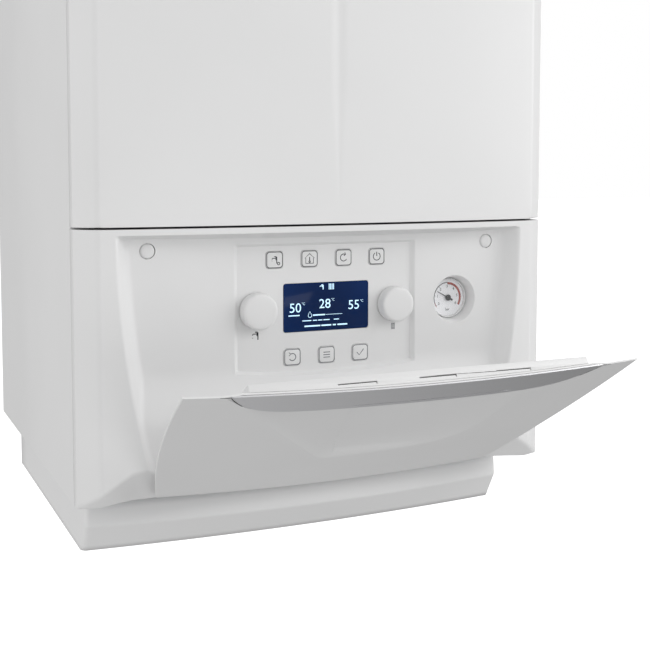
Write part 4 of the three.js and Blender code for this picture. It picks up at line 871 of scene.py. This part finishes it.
NEEDLE_ANGLE = 152
hub_profile = [(0, -397.8), (1.6, -397.7), (2.5, -397.45), (2.9, -397.1), (2.9, -396.9), (0, -396.9)]
needle = turned(hub_profile, 0, 0, 40)
blade = bmesh.ops.create_grid(needle, x_segments=8, y_segments=1, size=0.5)["verts"]
for vert in blade:
    along = -5.2 + 18.4 * (vert.co.x + 0.5)
    wide = 1.3 - 0.04 * (along + 5.2) if along > 0 else 1.7
    vert.co = Vector((along, -397.25, vert.co.y * wide)) * MM
faces = list({face for vert in blade for face in vert.link_faces})
grown = bmesh.ops.extrude_face_region(needle, geom=faces)["geom"]
behind = [g for g in grown if isinstance(g, bmesh.types.BMVert)]
bmesh.ops.translate(needle, vec=(0, 0.2 * MM, 0), verts=behind)
turn = Matrix.Rotation(-math.radians(NEEDLE_ANGLE), 4, "Y")
pivot = Matrix.Translation((GAUGE_X * MM, 0, GAUGE_Z * MM))
bmesh.ops.transform(needle, matrix=pivot @ turn, verts=needle.verts)
finish_piece(needle, "gauge_pointer", "gauge_needle_body", "black_plastic", "gauge_needle", crease=40)

# %% [markdown]
# ## Printing
# Everything printed is a film of ink a few hundredths of a millimetre thick. A line is a curve
# with a round section, made a mesh and pressed flat; a figure is a text object filled flat. Both
# are joined into one piece for each part that carries them, so a button keeps its own sign.

# %% Inks
def ink(name, colour, glow=0.0):
    """Screen-printing ink: matt, with the slight mottle of a printed film, about 0.8 mm across."""
    made, tree, shader, where = start(name, colour, IOR=1.5, Roughness=0.5)
    mottle = cloud(tree, where, 0.8)
    vary(tree, shader.inputs["Roughness"], mottle, 0.42, 0.58)
    if glow:
        shader.inputs["Emission Color"].default_value = linear(colour)
        shader.inputs["Emission Strength"].default_value = glow
    return made


FINISH.update(
    black_ink=ink("black_printing_ink", 0x1E1F21),
    grey_ink=ink("grey_printing_ink", 0x3E4144),
    light_grey_ink=ink("light_grey_printing_ink", 0x6A6D71),
    red_ink=ink("red_printing_ink", 0xA8443A),
    lit_segments=ink("lit_display_segments", 0xBFE2F6, 0.75),
)


# %% Lines and figures
FILM = 0.05  # thickness of a printed film in mm


def baked(thing):
    """The mesh of a curve or text object, which is then removed."""
    scene.collection.objects.link(thing)
    bpy.context.view_layer.update()
    shaped = thing.evaluated_get(bpy.context.evaluated_depsgraph_get())
    mesh = bpy.data.meshes.new_from_object(shaped)
    bpy.data.objects.remove(thing)
    return mesh


def stroke(print_, points, width, x, y, z, closed=False):
    """Adds a line of the given width to a print, through points in mm round (x, z)."""
    curve = bpy.data.curves.new("line", "CURVE")
    curve.dimensions = "3D"
    curve.bevel_depth, curve.bevel_resolution, curve.use_fill_caps = width / 2, 1, True
    spline = curve.splines.new("POLY")
    spline.points.add(len(points) - 1)
    for point, (px, pz) in zip(spline.points, points):
        point.co = (px, 0, pz, 1)
    spline.use_cyclic_u = closed
    mesh = baked(bpy.data.objects.new("line", curve))
    flat = FILM / width
    pressed = Matrix.Diagonal((MM, MM * flat, MM, 1))
    mesh.transform(Matrix.Translation((x * MM, y * MM, z * MM)) @ pressed)
    print_.from_mesh(mesh)


def figure(print_, text, size, x, y, z, bold=0.0):
    """Adds figures of the given height to a print, centred on (x, z)."""
    words = bpy.data.curves.new("figure", "FONT")
    words.body, words.size, words.offset = text, size / 0.73, bold
    words.align_x, words.align_y = "CENTER", "CENTER"
    words.extrude = FILM / 2
    words.resolution_u = 4
    mesh = baked(bpy.data.objects.new("figure", words))
    upright = Matrix.Rotation(math.pi / 2, 4, "X")
    mesh.transform(Matrix.Translation((x * MM, y * MM, z * MM)) @ upright @ Matrix.Scale(MM, 4))
    print_.from_mesh(mesh)


def arc(radius, start_deg, end_deg, steps=24, cx=0.0, cz=0.0):
    """Points on an arc, in degrees from +x."""
    turns = [math.radians(start_deg + (end_deg - start_deg) * i / steps) for i in range(steps + 1)]
    return [(cx + radius * math.cos(t), cz + radius * math.sin(t)) for t in turns]


def rounded_square(wide, high, corner):
    """Points of a rounded rectangle round the origin."""
    w, h = wide / 2 - corner, high / 2 - corner
    corners = [(w, h, 0), (-w, h, 90), (-w, -h, 180), (w, -h, 270)]
    return [p for cx, cz, turn in corners for p in arc(corner, turn, turn + 90, 5, cx, cz)]


# %% [markdown]
# The signs are the plain ones that such a control panel has: a tap, a house with a thermometer, a
# turning arrow for the operating mode, the power sign, and for the lower row a reset arrow, three
# menu lines and a tick.

# %% Signs
def tap_sign(scale=1.0):
    lines = [
        [(1.9, 2.6), (1.9, -3)],
        [(1.2, 2.6), (1.2, -0.2)],
        [(1.6, 1.4), (-2, 1.4), (-2.4, 0.4)],
        [(-0.4, 2.8), (1.6, 2.8)],
    ]
    return [([(x * scale, z * scale) for x, z in line], False) for line in lines]


HOUSE = [(-3.6, -4), (3.6, -4), (3.6, 0.6), (4.4, 0.6), (0, 4.4), (-4.4, 0.6), (-3.6, 0.6)]
SIGNS = {
    # button: lines as (points, closed)
    "hot_water_button": tap_sign()
    + [(arc(1.1, 0, 360, 12, 3.6, -3.2), True), ([(-2.4, -0.6), (-2.4, -1)], False)],
    "room_temperature_button": [
        (HOUSE, True),
        ([(0, 1.6), (0, -2.4)], False),
        (arc(0.7, 0, 360, 10, 0, -2.6), True),
    ],
    "mode_button": [(arc(3.1, 60, 330), False), ([(1.2, 4.4), (1.8, 2.6), (0.2, 1.6)], False)],
    "power_button": [(arc(3.4, 120, 420), False), ([(0, 4), (0, 0.4)], False)],
    "reset_button": [(arc(3.1, 120, -150), False), ([(-3.2, 4), (-1.5, 2.7), (-3.1, 1.2)], False)],
    "menu_button": [([(-3.2, z), (3.2, z)], False) for z in (-2.2, 0, 2.2)],
    "confirm_button": [([(-3.2, 0.2), (-0.9, -2.4), (3.4, 2.8)], False)],
}
KEY_FRONT = -405.7
for node, (x, z, body) in BUTTONS.items():
    low = z < 150
    print_ = bmesh.new()
    stroke(print_, rounded_square(14.4, 13.4, 2.6), 0.8, x, KEY_FRONT, z, True)
    for points, closed in SIGNS[node]:
        stroke(print_, points, 0.85, x, KEY_FRONT, z, closed)
    finish_piece(print_, f"{node}_sign", body, "light_grey_ink" if low else "grey_ink", crease=60)

signs = bmesh.new()
for points, closed in tap_sign(1.15):
    stroke(signs, points, 1.0, -66.2, PLATE_Y, 135.2, closed)
stroke(signs, [(-2.6, -1.6), (-2.6, -2)], 1.0, -66.2, PLATE_Y, 135.2)
finish_piece(signs, "tap_sign_below_knob", "dashboard", "black_ink", crease=60)
radiator = bmesh.new()
for column in (-1.5, -0.5, 0.5, 1.5):
    stroke(radiator, [(column, -2.9), (column, 2.9)], 0.55, 65.6, PLATE_Y, 136.2)
for rail in (-2, 2):
    stroke(radiator, [(-1.8, rail), (1.8, rail)], 0.4, 65.6, PLATE_Y, 136.2)
finish_piece(radiator, "radiator_sign_below_knob", "dashboard", "light_grey_ink", crease=60)

# %% [markdown]
# ## Display
# The window is flush with the plate and shows pale segments on navy: a tap and a radiator on top,
# two set temperatures at the sides with the measured one between them, a bar for the burner's
# power and two rows of blocks where a message would be.

# %% Lit segments
LENS_Y = -405.3
lit = bmesh.new()
for points, closed in tap_sign(0.72):
    stroke(lit, points, 0.8, -4.6, LENS_Y, 174.4, closed)
for column in (-2.1, -0.7, 0.7, 2.1):
    stroke(lit, [(column, -2.6), (column, 2.6)], 0.75, 4.6, LENS_Y, 174.6)
figure(lit, "50", 8.4, -29.6, LENS_Y, 156.8)
figure(lit, "28", 8.4, -1.6, LENS_Y, 159.4)
figure(lit, "55", 8.4, 26.4, LENS_Y, 157.2)
for x, z in ((-22, 160.4), (6, 163), (34, 160.6)):
    figure(lit, "°C", 2.2, x, LENS_Y, z)
stroke(lit, [(-13, 0), (-1.5, 0)], 1.3, 0, LENS_Y, 150.2)
stroke(lit, [(-1, 0), (15, 0)], 0.4, 0, LENS_Y, 150.2)
drop = [(0, 3.6)] + arc(1.7, 20, -200, 10) + [(0, 3.6)]
stroke(lit, drop, 0.5, -15.8, LENS_Y, 150, True)
MESSAGE = [
    # height of a row, block height, block ends from left to right
    (145.6, 0.9, (-23, -14.5, -13, -9, -8, -4, -3, 3, 7, 12)),
    (140.8, 1.4, (-21, -6, -5, 4.5, 6, 9, 10.5, 20)),
]
for row, high, ends in MESSAGE:
    for left_end, right_end in zip(ends[::2], ends[1::2]):
        stroke(lit, [(left_end, 0), (right_end, 0)], high, 0, LENS_Y, row)
stroke(lit, [(-36, 0), (-25.5, 0)], 1.1, 0, LENS_Y, 150.6)
finish_piece(lit, "lit_display_segments", "dashboard", "lit_segments", crease=60)
rounded_copy("display_lens", "display_window", "dashboard", "navy_display", 0.2, front_rim(LENS_Y))

# %% Dial printing
ZERO_DEG, BAR_DEG = 212, -40.5
arc_black = bmesh.new()
stroke(arc_black, arc(14.2, ZERO_DEG, ZERO_DEG + 3 * BAR_DEG, 32), 0.9, GAUGE_X, DIAL_Y, GAUGE_Z)
for bar in range(7):
    turn = math.radians(ZERO_DEG + bar * BAR_DEG)
    across, along = math.cos(turn), math.sin(turn)
    x, z = GAUGE_X - 0.4 + 10.4 * across, GAUGE_Z + 10.4 * along
    figure(arc_black, str(bar), 2.6, x, DIAL_Y, z, 0.03)
    stroke(
        arc_black,
        [(12.6 * across, 12.6 * along), (14.2 * across, 14.2 * along)],
        0.4,
        GAUGE_X,
        DIAL_Y,
        GAUGE_Z,
    )
figure(arc_black, "bar", 2.4, GAUGE_X, DIAL_Y, GAUGE_Z - 11, 0.03)
finish_piece(arc_black, "dial_black_print", "dashboard", "black_ink", crease=60)
arc_red = bmesh.new()
stroke(arc_red, arc(14.2, ZERO_DEG + 5, ZERO_DEG - 14, 8), 0.6, GAUGE_X, DIAL_Y - 0.02, GAUGE_Z)
broad = arc(13.3, ZERO_DEG + 3 * BAR_DEG, ZERO_DEG + 6 * BAR_DEG, 32)
stroke(arc_red, broad, 2.4, GAUGE_X, DIAL_Y, GAUGE_Z)
finish_piece(arc_red, "dial_red_print", "dashboard", "red_ink", crease=60)

# %% [markdown]
# ## Flap
# The flap hangs open on two pins at the foot of the recess. Its skin is shaped here as if shut,
# in the same frame as the panel, and turned open at the end. In its upper half a wide scoop is
# sunk: its left side runs down in a straight slant, its right side ends in a large round corner.
# In the scoop lies a deeper finger pocket, sheer on its left and rising to a crease on its right.

# %% Depth of the shut flap at a point
FLAP_FRONT, FLAP_BOW, FLAP_BOW_X = -430.5, 6, 187
FLAP_LOW, FLAP_TOP, FLAP_MARGIN = 8, 221.2, 1.5
FLAP_OPEN = 56.8  # degrees between shut and open
TRIM_HALF, TRIM_LOW, TRIM_SEAT = 154, 188, 1.5
SLANT_TOP, SLANT_FOOT = (-141, 202), (-38, 77)
CORNER_FROM, CORNER_TO, CORNER_TOP, SCOOP_FOOT = 20, 96, 140, 78
SCOOP_DEPTH, POCKET_DEPTH, POCKET_FOOT = 4.6, 3.6, 88


def flap_y(x):
    return FLAP_FRONT + FLAP_BOW * (x / FLAP_BOW_X) ** 2


def trim_edge(x):
    """Lower edge of the lens-shaped trim."""
    return TRIM_LOW + (FLAP_TOP - TRIM_LOW) * min(abs(x) / TRIM_HALF, 1) ** 8


def scoop_low(x):
    """Lower edge of the scoop: a straight slant, a nearly level foot and a round corner."""
    (x0, z0), (x1, z1) = SLANT_TOP, SLANT_FOOT
    slant = z1 + (x1 - x) * (z0 - z1) / (x1 - x0)
    share = min(max((x - CORNER_FROM) / (CORNER_TO - CORNER_FROM), 0), 1)
    corner = CORNER_TOP - (CORNER_TOP - SCOOP_FOOT) * (1 - share**3) ** (1 / 3) + 0.06 * x
    low = soft_max(slant, corner, 6)
    return min(low if x < CORNER_TO else CORNER_TOP + (x - CORNER_TO) * 5, trim_edge(x) - 4)


def pocket_left(z):
    return -49 + (185 - z) * 0.217


def pocket_right(z):
    return 19 + (169 - z) * 0.466


def skin_y(x, z):
    """Front of the flap's skin."""
    front = flap_y(x)
    if z > trim_edge(x) - 0.1 and abs(x) < TRIM_HALF:
        return front + TRIM_SEAT
    up = z - scoop_low(x)
    if up <= 0 or x < SLANT_TOP[0] or x > CORNER_TO:
        return front
    ease = 1 - (1 - min(up / 75, 1)) ** 5
    fade = 1 - (1 - min((CORNER_TO - x) / 70, 1)) ** 1.5
    sunk = SCOOP_DEPTH * ease * fade * (1 - min(max((-x - 60) / 81, 0), 1) ** 3)
    left, right = pocket_left(z), pocket_right(z)
    if left < x < right:
        across = (x - left) / (right - left)
        rise = 0.3 * min(max((z - POCKET_FOOT + 4) / 3, 0), 1)
        rise += 0.7 * min(max((z - POCKET_FOOT + 14) / (TRIM_LOW - POCKET_FOOT), 0), 1) ** 3.5
        sunk += POCKET_DEPTH * (1 - across**3) * rise
    return front + sunk


# %% The skin
def thicken(sheet, wall_mm):
    """Makes a sheet a solid, by a copy of its faces behind it and walls round its rim."""
    grown = bmesh.ops.extrude_face_region(sheet, geom=sheet.faces[:], use_keep_orig=True)["geom"]
    behind = [g for g in grown if isinstance(g, bmesh.types.BMVert)]
    bmesh.ops.translate(sheet, vec=(0, wall_mm * MM, 0), verts=behind)
    bmesh.ops.recalc_face_normals(sheet, faces=sheet.faces)
    return sheet


def flap_rim(side, inward):
    return lambda z: side * (recess_half(z) - FLAP_MARGIN - inward)


def pocket_side(offset):
    return lambda z: pocket_left(min(max(z, 76), 196)) + offset


columns = spread(
    [flap_rim(-1, 0), flap_rim(-1, 2.5), at(-145), at(-138)]
    + [pocket_side(-0.5), pocket_side(0.5)]
    + [lambda z: pocket_right(min(max(z, 86), 196)), at(84), at(CORNER_TO), at(138), at(145)]
    + [flap_rim(1, 2.5), flap_rim(1, 0)],
    [2, 3, 4, 36, 1, 36, 24, 16, 14, 4, 3, 2],
)
rows = spread(
    [at(FLAP_LOW), lambda x: scoop_low(x) - 0.8, lambda x: scoop_low(x) + 0.4]
    + [lambda x: trim_edge(x) - 0.5, lambda x: trim_edge(x), at(FLAP_TOP)],
    [20, 1, 44, 1, 8],
)
skin = thicken(led_sheet(columns, rows, skin_y), 1.4)


def on_front(edge):
    """Picks the sharp edges that lie on the flap's bowed front."""
    return sharp(edge, 80) and all(abs(v.co.y / MM - flap_y(v.co.x / MM)) < 0.1 for v in edge.verts)


round_edges(skin, on_front, 0.5)


def open_flap(shape):
    """Turns a shape from the shut flap's place to the open one."""
    turn = Matrix.Rotation(math.radians(FLAP_OPEN), 3, "X")
    hinge = (0, HINGE_Y * MM, HINGE_Z * MM)
    bmesh.ops.rotate(shape, cent=hinge, matrix=turn, verts=shape.verts)
    return shape


finish_piece(open_flap(skin), "flap_skin", "flap", "white_plastic", "flap_shell", crease=25)

eyes = hinge_lobes(EYE_X, 4.5, 40, (EAR_THICK, 5.4, 9), (0, -2.7, 0))
finish_piece(open_flap(eyes), "flap_hinge_eyes", "flap", "white_plastic")

# %% [markdown]
# The trim is a thin silver-lacquered strip pressed into the seat. A narrow groove in it, above
# the pocket, is where the finger nail catches, and black lines of painted shadow at its pointed
# ends stand for the dark slits there. Behind the skin sits the liner, a white tray whose thick rim
# shows above the trim.

# %% Trim and liner
GROOVE_LEFT, GROOVE_RIGHT, GROOVE_LOW, GROOVE_TOP = -54, 82, 192.2, 193.4
TRIM_END = TRIM_HALF - 1.2


def trim_y(x, z):
    groove = GROOVE_LEFT < x < GROOVE_RIGHT and GROOVE_LOW + 0.05 < z < GROOVE_TOP - 0.05
    return flap_y(x) + (0.9 if groove else 0)


def lift(z):
    """A level that gives way to the lens's rising lower edge."""
    return lambda x: min(max(z, trim_edge(x * 1.004) + 1.2), FLAP_TOP - 0.3)


columns = spread([at(-TRIM_END), at(GROOVE_LEFT), at(GROOVE_RIGHT), at(TRIM_END)], [30, 30, 24])
rows = spread(
    [lambda x: min(trim_edge(x * 1.004) + 0.25, FLAP_TOP - 0.4)]
    + [lift(GROOVE_LOW), lift(GROOVE_LOW + 0.1), lift(GROOVE_TOP - 0.1), lift(GROOVE_TOP)]
    + [at(FLAP_TOP - 0.2)],
    [3, 1, 1, 1, 10],
)
trim = thicken(led_sheet(columns, rows, trim_y), 1.2)
finish_piece(open_flap(trim), "flap_silver_trim", "flap", "silver_trim", "flap_trim", crease=35)

# painted shadow: black lines drawn on the flap's front at the trim's pointed ends stand for the dark
# slits there
slit_shadow_lines = bmesh.new()
for side in (-1, 1):
    curved = [(side * x, trim_edge(x)) for x in (TRIM_HALF - inward for inward in (1, 4, 8, 13))]
    stroke(slit_shadow_lines, [(side * (TRIM_HALF + 7), FLAP_TOP - 0.7), *curved], 0.8, 0, 0, 0)
for vert in slit_shadow_lines.verts:
    vert.co.y += (flap_y(vert.co.x / MM) - 0.02) * MM
finish_piece(open_flap(slit_shadow_lines), "flap_trim_slit_painted_shadow", "flap", "black_plastic", crease=60)

rounded_copy("flap_liner", "flap_liner_tray", "flap", "white_plastic", 0.4, lambda e: sharp(e, 60))
# painted shade: black strips at the bottom of the liner's L-shaped slots stand for the dark inside of
# the slots
slot_shade_strips = bmesh.new()
for left_end in (-74.5, -9.5, 55.5):
    for x0, x1, y0, y1 in ((0, 31, -424.2, -423.2), (30, 31, -425.4, -424.2)):
        size = Matrix.Diagonal(((x1 - x0) * MM, (y1 - y0) * MM, 0.3 * MM, 1))
        middle = Vector((left_end + (x0 + x1) / 2, (y0 + y1) / 2, FLAP_TOP - 1.6)) * MM
        bmesh.ops.create_cube(slot_shade_strips, size=1, matrix=Matrix.Translation(middle) @ size)
finish_piece(open_flap(slot_shade_strips), "liner_slot_painted_shade", "flap", "black_plastic")
